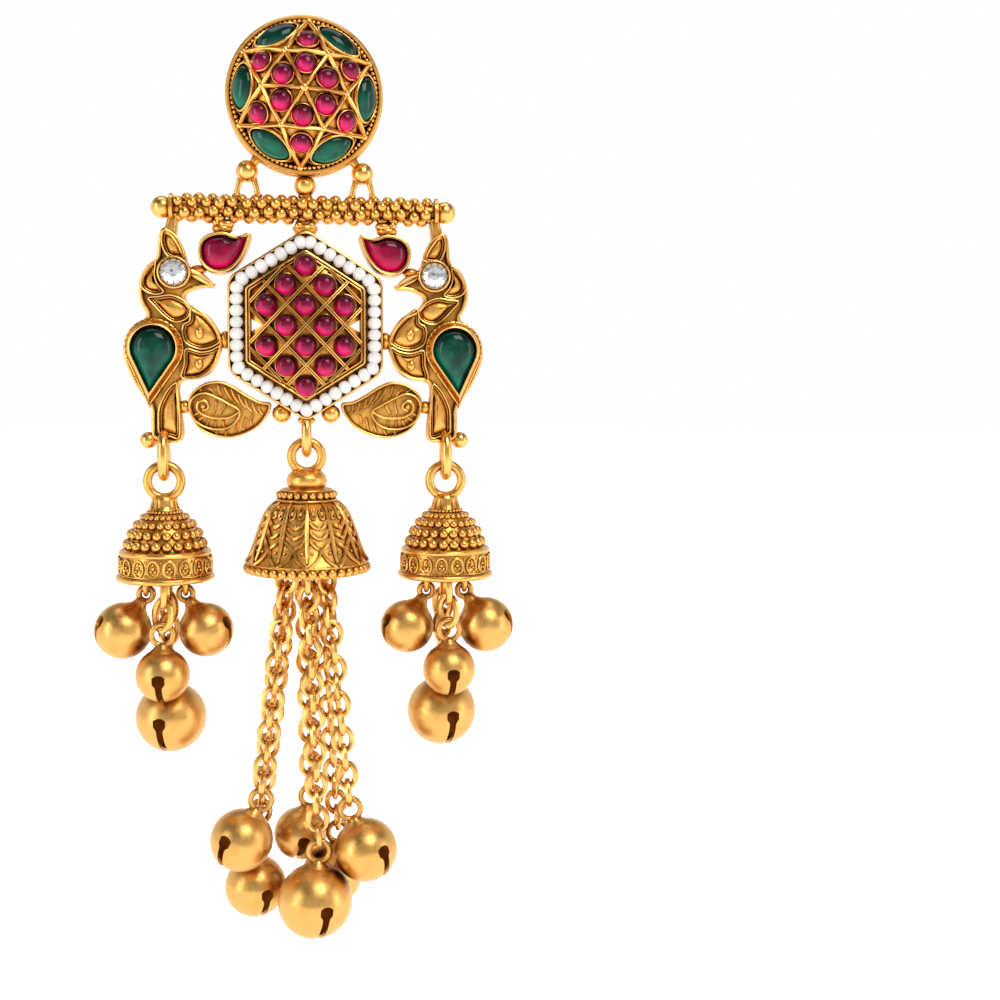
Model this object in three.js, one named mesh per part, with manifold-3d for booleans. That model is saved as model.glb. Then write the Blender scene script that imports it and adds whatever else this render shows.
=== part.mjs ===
// A jhumka earring of antique gold, set with rubies, emeralds and seed pearls.
// Millimetres, +Z up. The wearer's ear is on the +Y side and the decorated front faces -Y.
// The origin is on the post's axis, at the rear face of the disc that lies against the ear lobe.
import * as THREE from 'three';
import { mergeVertices } from 'three/addons/utils/BufferGeometryUtils.js';
import Module from 'manifold-3d';

const wasm = await Module();
wasm.setup();

// Clearances
const STONE_GAP = 0.06;
const LINK_GAP = 0.12;
const SEAT_GAP = 0.1;
const BORE_GAP = 0.1;
// Depth by which soldered pieces run into each other
const SOLDER = 0.25;

// Post, ear disc and thread
const POST_RADIUS = 0.785;
const POST_LENGTH = 13.5;
const POST_SMOOTH_LENGTH = 2.8;
const POST_SIDES = 12;
const EAR_DISC_SIDES = 24;
const THREAD_PITCH = 0.6;
const THREAD_DEPTH = 0.155;
const EAR_DISC_RADIUS = 3.69;
const EAR_DISC_THICKNESS = 0.72;
const EAR_DISC_NECK = 0.33;
const EAR_DISC_NECK_RADIUS = 3.2;

// Screw nut
const NUT_RADIUS = 3.55;
const NUT_DISC_THICKNESS = 2.2;
const NUT_FLUTES = 14;
const NUT_FLUTE_DEPTH = 0.28;
const NUT_BARREL_RADIUS = 1.64;
const NUT_BARREL_LENGTH = 4.1;
const NUT_FRONT_Y = 5.5;

// Stud: a round cup with a domed star lattice
const STUD_RADIUS = 6.9;
const STUD_CENTRE_Z = -0.45;
const STUD_BAND_DEPTH = 2.65;
const STUD_EDGE = 0.15;
const STUD_SEGMENTS = 24;
const STAR_TIP_RADIUS = 6.4;
const STAR_RISE = 3.55;
const STAR_TURN = THREE.MathUtils.degToRad(-3.7);
const STAR_BAR_WIDTH = 0.42;
const STAR_BAR_DEPTH = 0.36;
const STAR_BAR_RIDGE = 0.12;
const STAR_GROUND_DROP = 0.55;
const STUD_RUBY_RADIUS = 0.78;
const STUD_RUBY_HEIGHT = 0.82;
const STUD_EMERALD_LENGTH = 3.5;
const STUD_EMERALD_WIDTH = 1.9;
const STUD_EMERALD_HEIGHT = 0.9;
const STUD_EMERALD_RADIUS = 5.12;
const ALMOND_WALL = 0.2;
const ALMOND_HEIGHT = 0.45;

// Depths shared by the soldered frame
const FRAME_BACK_Y = -1.7;
const PEACOCK_FRONT_Y = -3.2;
const HEXAGON_BACK_Y = -2.1;
const HEXAGON_FRONT_Y = -3.4;
const HEXAGON_WALL_FRONT_Y = -4.6;
const COLLET_FRONT_Y = -4.0;
const HANG_Y = -2.8;

// Balls and wire legs between the stud and the bar
const BALL_RADIUS = 0.98;
const BALL_Y = -2.3;
const SIDE_BALL_X = 5.1;
const SIDE_BALL_Z = -7.0;
const LEG_RADIUS = 0.26;
const LEG_TOP_SPREAD = 0.75;
const LEG_FOOT_SPREAD = 0.95;

// Bar
const BAR_RADIUS = 1.3;
const BAR_HALF_LENGTH = 11.8;
const BAR_Z = -10.3;
const BAR_Y = -2.4;
const STRAP_WIDTH = 0.7;
const BAR_STUB_WIDTH = 1.8;

// Peacocks
const PEACOCK_INNER_X = 7.39;
const PEACOCK_WIDTH = 8.61;
const PEACOCK_BOTTOM_Z = -30.9;
const PEACOCK_HEIGHT = 18.77;
const EYE_X = PEACOCK_INNER_X + 0.477 * PEACOCK_WIDTH;
const EYE_STONE_RADIUS = 1.2;
const EYE_STONE_HEIGHT = 1.1;
const EYE_COLLET_WALL = 0.24;
const EYE_Z = -16.05;
const TAIL_STONE_RADIUS = 1.86;
const TAIL_STONE_LENGTH = 5.65;
const TAIL_STONE_HEIGHT = 1.3;
const TAIL_STONE_X = PEACOCK_INNER_X + 0.693 * PEACOCK_WIDTH;
const TAIL_STONE_Z = -22.65;
const TAIL_STONE_LEAN = THREE.MathUtils.degToRad(-5.5);
const TAIL_COLLET_WALL = 0.25;
const TAIL_COLLET_FLARE = 0.5;
const CORNER_BALL_X = PEACOCK_INNER_X + 0.768 * PEACOCK_WIDTH;
const CORNER_BALL_RADIUS = 0.76;

// Ruby drops beside the hexagon's top
const RUBY_DROP_RADIUS = 1.42;
const RUBY_DROP_LENGTH = 3.3;
const RUBY_DROP_HEIGHT = 1.25;
const RUBY_DROP_X = 7.46;
const RUBY_DROP_Z = -14.4;
const RUBY_DROP_TURN = THREE.MathUtils.degToRad(36);
const RUBY_COLLET_WALL = 0.26;
const RUBY_COLLET_TIP = 3.35;

// Hexagon
const HEXAGON_Z = -20.6;
const HEXAGON_HALF_WIDTH = 5.25;
const HEXAGON_HALF_HEIGHT = 6.65;
const HEXAGON_SHOULDER = 3.3;
const HEXAGON_WALL = 0.35;
const PEARL_TRACK_OFFSET = 0.98;
const PEARL_TUBE_RADIUS = 0.52;
const PEARL_TUBE_SIDES = 8;
const PLATE_OFFSET = 1.62;
const PANEL_EDGE_RISE = 0.9;
const PANEL_DOME_RISE = 1.7;
const PANEL_RUBY_RADIUS = 0.88;
const PANEL_RUBY_HEIGHT = 0.5;
const PANEL_COLUMN_PITCH = 1.71;
const PANEL_ROW_PITCH = 1.78;
const SIDE_HOLE_WIDTH = 0.6;
const SIDE_HOLE_HEIGHT = 1.0;

// Paisleys and small balls under the hexagon
const PAISLEY_RADIUS = 2.5;
const PAISLEY_LENGTH = 5.3;
const PAISLEY_X = 8.35;
const PAISLEY_Z = -28.25;
const PAISLEY_TURN = THREE.MathUtils.degToRad(6);
const UNDER_BALL_RADIUS = 0.85;
const UNDER_BALL_X = 2.2;

// Hanging loops, bell rings and hubs
const SIDE_BELL_X = PEACOCK_INNER_X + 0.611 * PEACOCK_WIDTH;
const SIDE_RING_TOP_Z = -33.1;
const SIDE_RING_RADIUS = 1.47;
const SIDE_RING_WIRE = 0.42;
const SIDE_LOOP_WIRE = 0.48;
const SIDE_LOOP_HALF_DEPTH = 1.15;
const CENTRE_RING_TOP_Z = -31.0;
const CENTRE_RING_RADIUS = 1.37;
const CENTRE_RING_WIRE = 0.42;
const CENTRE_LOOP_WIRE = 0.46;
const CENTRE_LOOP_HALF_DEPTH = 1.1;
const LOOP_ROOT = 0.5;
const BELL_WALL = 0.45;
const HUB_WIRE = 0.3;
const SIDE_HUB_RADIUS = 1.75;
const CENTRE_HUB_RADIUS = 1.9;
const HUB_DROP = 0.15;
const HOOK_HALF_HEIGHT = 0.85;
const HOOK_HALF_DEPTH = 0.55;
const HOOK_WIRE = 0.24;
const HOOK_DROP = 1.2;
const WIRE_SIDES = 6;

// Side bell
const SIDE_BELL_RADIUS = 4.35;
const SIDE_BELL_HEIGHT = 7.6;
const SIDE_BELL_SEGMENTS = 16;

// Centre bell
const CENTRE_BELL_RADIUS = 5.9;
const CENTRE_BELL_HEIGHT = 9.4;
const CENTRE_BELL_SEGMENTS = 20;

// Ghungroos: small slit bells
const BEAD_SEGMENTS = 10;
const BEAD_NECK_RADIUS = 0.62;
const BEAD_NECK_LENGTH = 0.3;
const LONG_NECK_LENGTH = 0.7;
const SIDE_BEAD_RADIUS = 2.5;
const TASSEL_BEAD_RADIUS = 2.9;
const BEAD_LOOP_RADIUS = 0.95;
const HOOKED_LOOP_RADIUS = 0.62;
const BEAD_LOOP_WIRE = 0.24;
const BEAD_SLIT_WIDTH = 0.5;
const CHAIN_RADIUS = 0.52;

// Colours
const GOLD = new THREE.MeshStandardMaterial({ color: 0xd9a441, metalness: 1, roughness: 0.35 });
const RUBY = new THREE.MeshStandardMaterial({ color: 0xb0103a, metalness: 0, roughness: 0.12 });
const EMERALD = new THREE.MeshStandardMaterial({ color: 0x0b5a3a, metalness: 0, roughness: 0.12 });
const CLEAR = new THREE.MeshStandardMaterial({ color: 0xe9eef2, metalness: 0, roughness: 0.05 });
const PEARL = new THREE.MeshStandardMaterial({ color: 0xf3ece2, metalness: 0, roughness: 0.3 });

// Solids

// Triangles of an indexed geometry with the outside outwards.
function outwards(geometry) {
  const position = geometry.attributes.position;
  const index = geometry.index.array;
  const a = new THREE.Vector3();
  const b = new THREE.Vector3();
  const c = new THREE.Vector3();
  let volume = 0;
  for (let i = 0; i < index.length; i += 3) {
    a.fromBufferAttribute(position, index[i]);
    b.fromBufferAttribute(position, index[i + 1]);
    c.fromBufferAttribute(position, index[i + 2]);
    volume += a.dot(b.cross(c));
  }
  if (volume < 0) {
    for (let i = 0; i < index.length; i += 3) {
      const first = index[i];
      index[i] = index[i + 2];
      index[i + 2] = first;
    }
  }
  return geometry;
}

// A three.js geometry as a solid that can be joined and cut.
function solid(geometry) {
  const bare = geometry.clone();
  for (const name of Object.keys(bare.attributes)) {
    if (name !== 'position') bare.deleteAttribute(name);
  }
  const merged = outwards(mergeVertices(bare, 1e-4));
  const mesh = new wasm.Mesh({
    numProp: 3,
    vertProperties: new Float32Array(merged.attributes.position.array),
    triVerts: new Uint32Array(merged.index.array),
  });
  mesh.merge();
  return new wasm.Manifold(mesh);
}

// A solid as a three.js geometry.
function geometryOf(shape) {
  const mesh = shape.getMesh();
  const geometry = new THREE.BufferGeometry();
  geometry.setAttribute('position', new THREE.BufferAttribute(mesh.vertProperties, 3));
  geometry.setIndex(new THREE.BufferAttribute(mesh.triVerts, 1));
  return geometry;
}

function joined(solids) {
  return solids.reduce((whole, piece) => whole.add(piece));
}

function placed(geometry, matrix) {
  return geometry.applyMatrix4(matrix);
}

// A closed body through rings of points, with a flat fan on each end.
function loft(rings) {
  const count = rings[0].length;
  const points = rings.flat();
  const index = [];
  for (let r = 0; r + 1 < rings.length; r += 1) {
    for (let i = 0; i < count; i += 1) {
      const a = r * count + i;
      const b = r * count + (i + 1) % count;
      index.push(a, b, b + count, a, b + count, a + count);
    }
  }
  for (const [ring, turn] of [[0, 1], [rings.length - 1, -1]]) {
    const centre = new THREE.Vector3();
    for (const point of rings[ring]) centre.addScaledVector(point, 1 / count);
    points.push(centre);
    for (let i = 0; i < count; i += 1) {
      const a = ring * count + i;
      const b = ring * count + (i + 1) % count;
      index.push(points.length - 1, turn > 0 ? b : a, turn > 0 ? a : b);
    }
  }
  const geometry = new THREE.BufferGeometry().setFromPoints(points);
  geometry.setIndex(index);
  return geometry;
}

// An outline in the front plane, extruded from one depth to another.
function frontPlate(outline, backY, frontY) {
  const depth = backY - frontY;
  const geometry = new THREE.ExtrudeGeometry(new THREE.Shape(outline), { depth, bevelEnabled: false });
  return geometry.rotateX(Math.PI / 2).translate(0, backY, 0);
}

// A box given by its ranges along X, Y and Z.
function block(xRange, yRange, zRange) {
  const size = [xRange, yRange, zRange].map(([low, high]) => high - low);
  const middle = [xRange, yRange, zRange].map(([low, high]) => (low + high) / 2);
  return new THREE.BoxGeometry(...size).translate(...middle);
}

function ball(radius, x, y, z, segments = 10) {
  return new THREE.SphereGeometry(radius, segments, segments / 2).rotateX(Math.PI / 2).translate(x, y, z);
}

// A round wire along straight or curved points.
function wire(points, radius, sides = WIRE_SIDES, steps = points.length - 1) {
  const section = new THREE.Shape(circle(radius, sides));
  const path = points.length === 2
    ? new THREE.LineCurve3(points[0], points[1])
    : new THREE.CatmullRomCurve3(points);
  return new THREE.ExtrudeGeometry(section, { steps, extrudePath: path, curveSegments: 1 });
}

// A wire bent into a closed oval, standing in the YZ plane.
function ovalLoop(halfDepth, halfHeight, wireRadius, x, y, z) {
  const points = circle(1, 12).map((p) => new THREE.Vector3(x, y + p.x * halfDepth, z + p.y * halfHeight));
  const path = new THREE.CatmullRomCurve3(points, true);
  return new THREE.TubeGeometry(path, 12, wireRadius, WIRE_SIDES, true);
}

// Outlines

function circle(radius, sides, turn = 0) {
  const points = [];
  for (let i = 0; i < sides; i += 1) {
    const angle = turn + (2 * Math.PI * i) / sides;
    points.push(new THREE.Vector2(radius * Math.cos(angle), radius * Math.sin(angle)));
  }
  return points;
}

// A round end about the origin, drawn out to a point at the given distance along +X.
function teardrop(radius, length, arcPoints = 12) {
  const tangent = Math.acos(radius / length);
  const points = [new THREE.Vector2(length, 0)];
  for (let i = 0; i < arcPoints; i += 1) {
    const angle = tangent + ((2 * Math.PI - 2 * tangent) * i) / (arcPoints - 1);
    points.push(new THREE.Vector2(radius * Math.cos(angle), radius * Math.sin(angle)));
  }
  return points;
}

// Two arcs that meet in points at both ends of the X axis.
function almond(length, width, halfPoints = 4) {
  const points = [];
  for (let i = 0; i < 2 * halfPoints; i += 1) {
    const side = i < halfPoints ? 1 : -1;
    const share = (i % halfPoints) / halfPoints;
    const along = side * (1 - 2 * share);
    points.push(new THREE.Vector2((along * length) / 2, (side * (1 - along * along) * width) / 2));
  }
  return points;
}

const HEXAGON_SLANT = Math.atan2(HEXAGON_HALF_HEIGHT - HEXAGON_SHOULDER, HEXAGON_HALF_WIDTH);

// The hexagon's outline, its sides moved outwards by an offset.
function hexagon(offset) {
  const halfWidth = HEXAGON_HALF_WIDTH + offset;
  const halfHeight = HEXAGON_HALF_HEIGHT + offset / Math.cos(HEXAGON_SLANT);
  const shoulder = halfHeight - halfWidth * Math.tan(HEXAGON_SLANT);
  return [
    [0, halfHeight],
    [-halfWidth, shoulder],
    [-halfWidth, -shoulder],
    [0, -halfHeight],
    [halfWidth, -shoulder],
    [halfWidth, shoulder],
  ].map(([x, z]) => new THREE.Vector2(x, HEXAGON_Z + z));
}

// Height of the hexagonal plate's lower edge at a distance from the middle
function plateEdgeZ(x) {
  const bottom = hexagon(PLATE_OFFSET)[3].y;
  return bottom + x * Math.tan(HEXAGON_SLANT);
}

// Moves an outline drawn about the origin to its place in the front plane, on one side of the earring.
function onSide(outline, side, x, z, turn = 0) {
  return outline.map((point) => {
    const turned = point.clone().rotateAround(new THREE.Vector2(), turn);
    return new THREE.Vector2(side * (x - turned.x), z + turned.y);
  });
}

// A flat outline set up at a depth, as a ring for a loft.
function ringAt(outline, y) {
  return outline.map((point) => new THREE.Vector3(point.x, y, point.y));
}

// Stones

// The rounded top of a cabochon: height and width shares of its layers.
const CABOCHON_LAYERS = [
  { height: 0, width: 1 },
  { height: 0.6, width: 0.85 },
  { height: 0.95, width: 0.38 },
];

// A polished cabochon on a flat base, rising along +Z from its outline.
function cabochon(outline, height) {
  const middle = new THREE.Vector2();
  for (const point of outline) middle.addScaledVector(point, 1 / outline.length);
  const rings = CABOCHON_LAYERS.map((layer) => outline.map((point) => {
    const p = point.clone().sub(middle).multiplyScalar(layer.width).add(middle);
    return new THREE.Vector3(p.x, p.y, height * layer.height);
  }));
  return outwards(loft(rings));
}

// A cut stone along +Z: a table, a crown, a girdle and a pavilion with eight facets each.
function cutStone(radius, height) {
  const rows = [
    { height: 0, width: 0.35 },
    { height: 0.5, width: 1 },
    { height: 0.6, width: 1 },
    { height: 1, width: 0.58 },
  ];
  const rings = rows.map((row) => circle(radius * row.width, 8, Math.PI / 8)
    .map((p) => new THREE.Vector3(p.x, p.y, height * row.height)));
  return outwards(loft(rings));
}

function mesh(name, geometry, material) {
  const object = new THREE.Mesh(geometry, material);
  object.name = name;
  return object;
}

// Turns +Z of a stone towards the viewer and sets it at a depth.
function faceFront(object, x, y, z) {
  object.rotation.set(Math.PI / 2, 0, 0);
  object.position.set(x, y, z);
  return object;
}

// Stud

const STUD_BACK_Y = -(EAR_DISC_THICKNESS + EAR_DISC_NECK);
const STUD_FRONT_Y = STUD_BACK_Y - STUD_BAND_DEPTH;
const LATTICE_SPHERE = (STAR_TIP_RADIUS ** 2 + STAR_RISE ** 2) / (2 * STAR_RISE);
const GROUND_SPHERE = LATTICE_SPHERE - STAR_GROUND_DROP;
const SPHERE_CENTRE = new THREE.Vector3(0, STUD_FRONT_Y - STAR_RISE + LATTICE_SPHERE, STUD_CENTRE_Z);
const STAR_HEXAGON_RADIUS = STAR_TIP_RADIUS / Math.sqrt(3);
const SIXTH = Math.PI / 3;

// The outward direction of the dome at a distance from the stud's axis and an angle round it.
function domeNormal(distance, angle, sphere) {
  const lean = Math.asin(distance / sphere);
  return new THREE.Vector3(
    Math.sin(lean) * Math.cos(angle),
    -Math.cos(lean),
    Math.sin(lean) * Math.sin(angle),
  );
}

function starAngle(index) {
  return Math.PI / 2 + STAR_TURN + index * SIXTH;
}

function studCup() {
  const edgeRadius = Math.sqrt(GROUND_SPHERE ** 2 - (SPHERE_CENTRE.y - STUD_FRONT_Y) ** 2);
  const profile = [
    new THREE.Vector2(0, STUD_BACK_Y),
    new THREE.Vector2(STUD_RADIUS - STUD_EDGE, STUD_BACK_Y),
    new THREE.Vector2(STUD_RADIUS, STUD_BACK_Y - STUD_EDGE),
    new THREE.Vector2(STUD_RADIUS, STUD_FRONT_Y + STUD_EDGE),
    new THREE.Vector2(STUD_RADIUS - STUD_EDGE, STUD_FRONT_Y),
  ];
  const steps = 5;
  const edgeLean = Math.asin(edgeRadius / GROUND_SPHERE);
  for (let i = 0; i <= steps; i += 1) {
    const lean = edgeLean * (1 - i / steps);
    const y = SPHERE_CENTRE.y - GROUND_SPHERE * Math.cos(lean);
    profile.push(new THREE.Vector2(GROUND_SPHERE * Math.sin(lean), y));
  }
  return new THREE.LatheGeometry(profile, STUD_SEGMENTS).translate(0, 0, STUD_CENTRE_Z);
}

// A lattice bar with a ridged top between two points of the dome.
function latticeBar(normalA, normalB) {
  const along = normalB.clone().sub(normalA).normalize();
  const rings = [normalA, normalB].map((normal) => {
    const side = normal.clone().cross(along).normalize();
    const section = [
      [0, 0],
      [STAR_BAR_WIDTH / 2, -STAR_BAR_RIDGE],
      [0, -STAR_BAR_DEPTH],
      [-STAR_BAR_WIDTH / 2, -STAR_BAR_RIDGE],
    ];
    return section.map(([across, up]) => SPHERE_CENTRE.clone()
      .addScaledVector(normal, LATTICE_SPHERE + up)
      .addScaledVector(side, across));
  });
  return loft(rings);
}

function starLattice() {
  const centre = domeNormal(0, 0, LATTICE_SPHERE);
  const bars = [];
  for (let i = 0; i < 6; i += 1) {
    const tip = domeNormal(STAR_TIP_RADIUS, starAngle(i), LATTICE_SPHERE);
    const before = domeNormal(STAR_HEXAGON_RADIUS, starAngle(i - 0.5), LATTICE_SPHERE);
    const after = domeNormal(STAR_HEXAGON_RADIUS, starAngle(i + 0.5), LATTICE_SPHERE);
    bars.push(latticeBar(tip, before), latticeBar(tip, after));
    bars.push(latticeBar(before, after), latticeBar(centre, after));
  }
  return bars;
}

// Places a stone or a bezel drawn along +Z on the dome's ground, its X axis running round the stud.
function domeMatrix(distance, angle, lift) {
  const normal = domeNormal(distance, angle, GROUND_SPHERE);
  const round = new THREE.Vector3(-Math.sin(angle), 0, Math.cos(angle));
  const third = normal.clone().cross(round);
  const place = SPHERE_CENTRE.clone().addScaledVector(normal, GROUND_SPHERE + lift);
  return new THREE.Matrix4().makeBasis(round, third, normal).setPosition(place);
}

function almondBezels() {
  const bezels = [];
  for (let i = 0; i < 6; i += 1) {
    const grow = 2 * (ALMOND_WALL + STONE_GAP);
    const outer = almond(STUD_EMERALD_LENGTH + 2 * grow, STUD_EMERALD_WIDTH + grow);
    const rings = [-SOLDER - STONE_GAP, ALMOND_HEIGHT].map((height) => outer
      .map((p) => new THREE.Vector3(p.x, p.y, height)));
    const hole = almond(STUD_EMERALD_LENGTH + 2 * STONE_GAP, STUD_EMERALD_WIDTH + 2 * STONE_GAP);
    const cut = [STONE_GAP / 2, 2 * ALMOND_HEIGHT].map((height) => hole
      .map((p) => new THREE.Vector3(p.x, p.y, height)));
    const place = domeMatrix(STUD_EMERALD_RADIUS, starAngle(i + 0.5), 0);
    bezels.push({ outer: placed(loft(rings), place), hole: placed(loft(cut), place) });
  }
  return bezels;
}

function studStones() {
  const stones = [];
  const inner = (STAR_HEXAGON_RADIUS * Math.cos(SIXTH / 2) * 2) / 3;
  const middle = STAR_HEXAGON_RADIUS * Math.cos(SIXTH / 2);
  const outer = middle + (STAR_TIP_RADIUS - middle) / 3;
  let count = 0;
  for (const distance of [inner, outer]) {
    for (let i = 0; i < 6; i += 1) {
      count += 1;
      const name = `stud_ruby_${String(count).padStart(2, '0')}`;
      const stone = mesh(name, cabochon(circle(STUD_RUBY_RADIUS, 8), STUD_RUBY_HEIGHT), RUBY);
      stone.applyMatrix4(domeMatrix(distance, starAngle(i), STONE_GAP));
      stones.push(stone);
    }
  }
  for (let i = 0; i < 6; i += 1) {
    const outline = almond(STUD_EMERALD_LENGTH, STUD_EMERALD_WIDTH);
    const stone = mesh(`stud_emerald_${i + 1}`, cabochon(outline, STUD_EMERALD_HEIGHT), EMERALD);
    stone.applyMatrix4(domeMatrix(STUD_EMERALD_RADIUS, starAngle(i + 0.5), STONE_GAP));
    stones.push(stone);
  }
  return stones;
}

// Post

function earDiscAndPost() {
  // The thread's solid is its mean cylinder.
  const threadRadius = POST_RADIUS - THREAD_DEPTH / 2;
  const disc = [
    new THREE.Vector2(0, STUD_BACK_Y - SOLDER),
    new THREE.Vector2(EAR_DISC_NECK_RADIUS, STUD_BACK_Y - SOLDER),
    new THREE.Vector2(EAR_DISC_NECK_RADIUS, -EAR_DISC_THICKNESS),
    new THREE.Vector2(EAR_DISC_RADIUS - STUD_EDGE, -EAR_DISC_THICKNESS),
    new THREE.Vector2(EAR_DISC_RADIUS, -EAR_DISC_THICKNESS / 2),
    new THREE.Vector2(EAR_DISC_RADIUS - STUD_EDGE, 0),
    new THREE.Vector2(0, 0),
  ];
  const post = [
    new THREE.Vector2(0, -SOLDER),
    new THREE.Vector2(POST_RADIUS, -SOLDER),
    new THREE.Vector2(POST_RADIUS, POST_SMOOTH_LENGTH),
    new THREE.Vector2(threadRadius, POST_SMOOTH_LENGTH + THREAD_PITCH / 2),
    new THREE.Vector2(threadRadius, POST_LENGTH - THREAD_PITCH),
    new THREE.Vector2(threadRadius / 2, POST_LENGTH),
    new THREE.Vector2(0, POST_LENGTH),
  ];
  return [new THREE.LatheGeometry(disc, EAR_DISC_SIDES), new THREE.LatheGeometry(post, POST_SIDES)];
}

function screwNut() {
  const scallops = NUT_FLUTES * 2;
  const outline = (radius, depth) => {
    const points = [];
    for (let i = 0; i < scallops; i += 1) {
      const angle = (2 * Math.PI * i) / scallops;
      const r = radius - (i % 2 === 0 ? depth : 0);
      points.push(new THREE.Vector2(r * Math.cos(angle), r * Math.sin(angle)));
    }
    return points;
  };
  const rim = NUT_RADIUS - NUT_FLUTE_DEPTH;
  const discBack = NUT_FRONT_Y + NUT_DISC_THICKNESS;
  const edge = NUT_DISC_THICKNESS / 4;
  const disc = solid(loft([
    ringAt(outline(rim - edge, 0), NUT_FRONT_Y),
    ringAt(outline(NUT_RADIUS, NUT_FLUTE_DEPTH), NUT_FRONT_Y + edge),
    ringAt(outline(NUT_RADIUS, NUT_FLUTE_DEPTH), discBack - edge),
    ringAt(outline(rim - edge, 0), discBack),
  ]));
  const barrelEnd = discBack + NUT_BARREL_LENGTH;
  const barrel = solid(loft([
    ringAt(circle(NUT_BARREL_RADIUS, 16), discBack - SOLDER),
    ringAt(circle(NUT_BARREL_RADIUS, 16), barrelEnd - STUD_EDGE),
    ringAt(circle(NUT_BARREL_RADIUS - STUD_EDGE, 16), barrelEnd),
  ]));
  const boreRadius = (POST_RADIUS + BORE_GAP) / Math.cos(Math.PI / 12);
  const bore = solid(loft([
    ringAt(circle(boreRadius, 12), NUT_FRONT_Y - 1),
    ringAt(circle(boreRadius, 12), barrelEnd + 1),
  ]));
  return mesh('screw_nut', geometryOf(disc.add(barrel).subtract(bore)), GOLD);
}

// Bar, balls and straps

function ballsAndBar() {
  const bar = new THREE.CylinderGeometry(BAR_RADIUS, BAR_RADIUS, 2 * BAR_HALF_LENGTH, 12)
    .rotateZ(Math.PI / 2)
    .translate(0, BAR_Y, BAR_Z);
  const studBottom = STUD_CENTRE_Z - STUD_RADIUS;
  const barTop = BAR_Z + BAR_RADIUS;
  const pieces = [bar, ball(BALL_RADIUS, 0, BALL_Y, (studBottom + barTop) / 2)];
  for (const side of [-1, 1]) {
    const ballPlace = new THREE.Vector3(side * SIDE_BALL_X, BALL_Y, SIDE_BALL_Z);
    const studMiddle = new THREE.Vector3(0, BALL_Y, STUD_CENTRE_Z);
    pieces.push(ball(BALL_RADIUS, ballPlace.x, ballPlace.y, ballPlace.z));
    const reach = (STUD_RADIUS - SOLDER) / ballPlace.distanceTo(studMiddle);
    pieces.push(wire([ballPlace, studMiddle.clone().lerp(ballPlace, reach)], LEG_RADIUS * 2));
    for (const leg of [-1, 1]) {
      const top = new THREE.Vector3(ballPlace.x + leg * LEG_TOP_SPREAD, BALL_Y, SIDE_BALL_Z - BALL_RADIUS / 2);
      const foot = new THREE.Vector3(ballPlace.x + leg * LEG_FOOT_SPREAD, BALL_Y, barTop - SOLDER);
      pieces.push(wire([top, foot], LEG_RADIUS));
    }
    pieces.push(ball(BALL_RADIUS, side * (BAR_HALF_LENGTH + BALL_RADIUS - SOLDER), BAR_Y, BAR_Z));
  }
  return pieces;
}

// Straps and stubs that solder the bar to what hangs under it
function straps() {
  const barBottom = BAR_Z - BAR_RADIUS;
  const hexagonTop = HEXAGON_Z + HEXAGON_HALF_HEIGHT;
  const depth = [PEACOCK_FRONT_Y + SOLDER, FRAME_BACK_Y - SOLDER];
  const pieces = [
    block([-BAR_STUB_WIDTH / 2, BAR_STUB_WIDTH / 2], depth, [hexagonTop, barBottom + SOLDER]),
  ];
  const crestTop = PEACOCK_BOTTOM_Z + PEACOCK_HEIGHT;
  const crestX = PEACOCK_INNER_X + PEACOCK_WIDTH * CREST_TIP_SHARE;
  const lobeX = PEACOCK_INNER_X;
  const plateX = HEXAGON_HALF_WIDTH + PLATE_OFFSET;
  for (const side of [-1, 1]) {
    const span = (near, far) => [near * side, far * side].sort((a, b) => a - b);
    const strapX = Math.min(crestX, BAR_HALF_LENGTH - STRAP_WIDTH / 2);
    pieces.push(block(span(strapX - STRAP_WIDTH / 2, crestX + STRAP_WIDTH / 2), depth,
      [crestTop - 3 * SOLDER, barBottom + SOLDER]));
    const rubyX = RUBY_DROP_X;
    pieces.push(block(span(rubyX - BAR_STUB_WIDTH / 2, rubyX + BAR_STUB_WIDTH / 2), depth,
      [RUBY_DROP_Z + RUBY_DROP_RADIUS / 2, barBottom + SOLDER]));
    pieces.push(block(span(plateX - SOLDER, lobeX + 2 * SOLDER), depth,
      [HEXAGON_Z - BAR_STUB_WIDTH, HEXAGON_Z - BAR_STUB_WIDTH / 3]));
    const paisleyX = PAISLEY_X + PAISLEY_RADIUS - 2 * SOLDER;
    const tailX = PEACOCK_INNER_X + PEACOCK_WIDTH * TAIL_FRONT_SHARE;
    pieces.push(block(span(paisleyX, tailX + 2 * SOLDER), depth,
      [PAISLEY_Z - BAR_STUB_WIDTH / 2, PAISLEY_Z + BAR_STUB_WIDTH / 2]));
  }
  return pieces;
}

// Peacock

const CREST_TIP_SHARE = 0.55;
const TAIL_FRONT_SHARE = 0.43;

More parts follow.
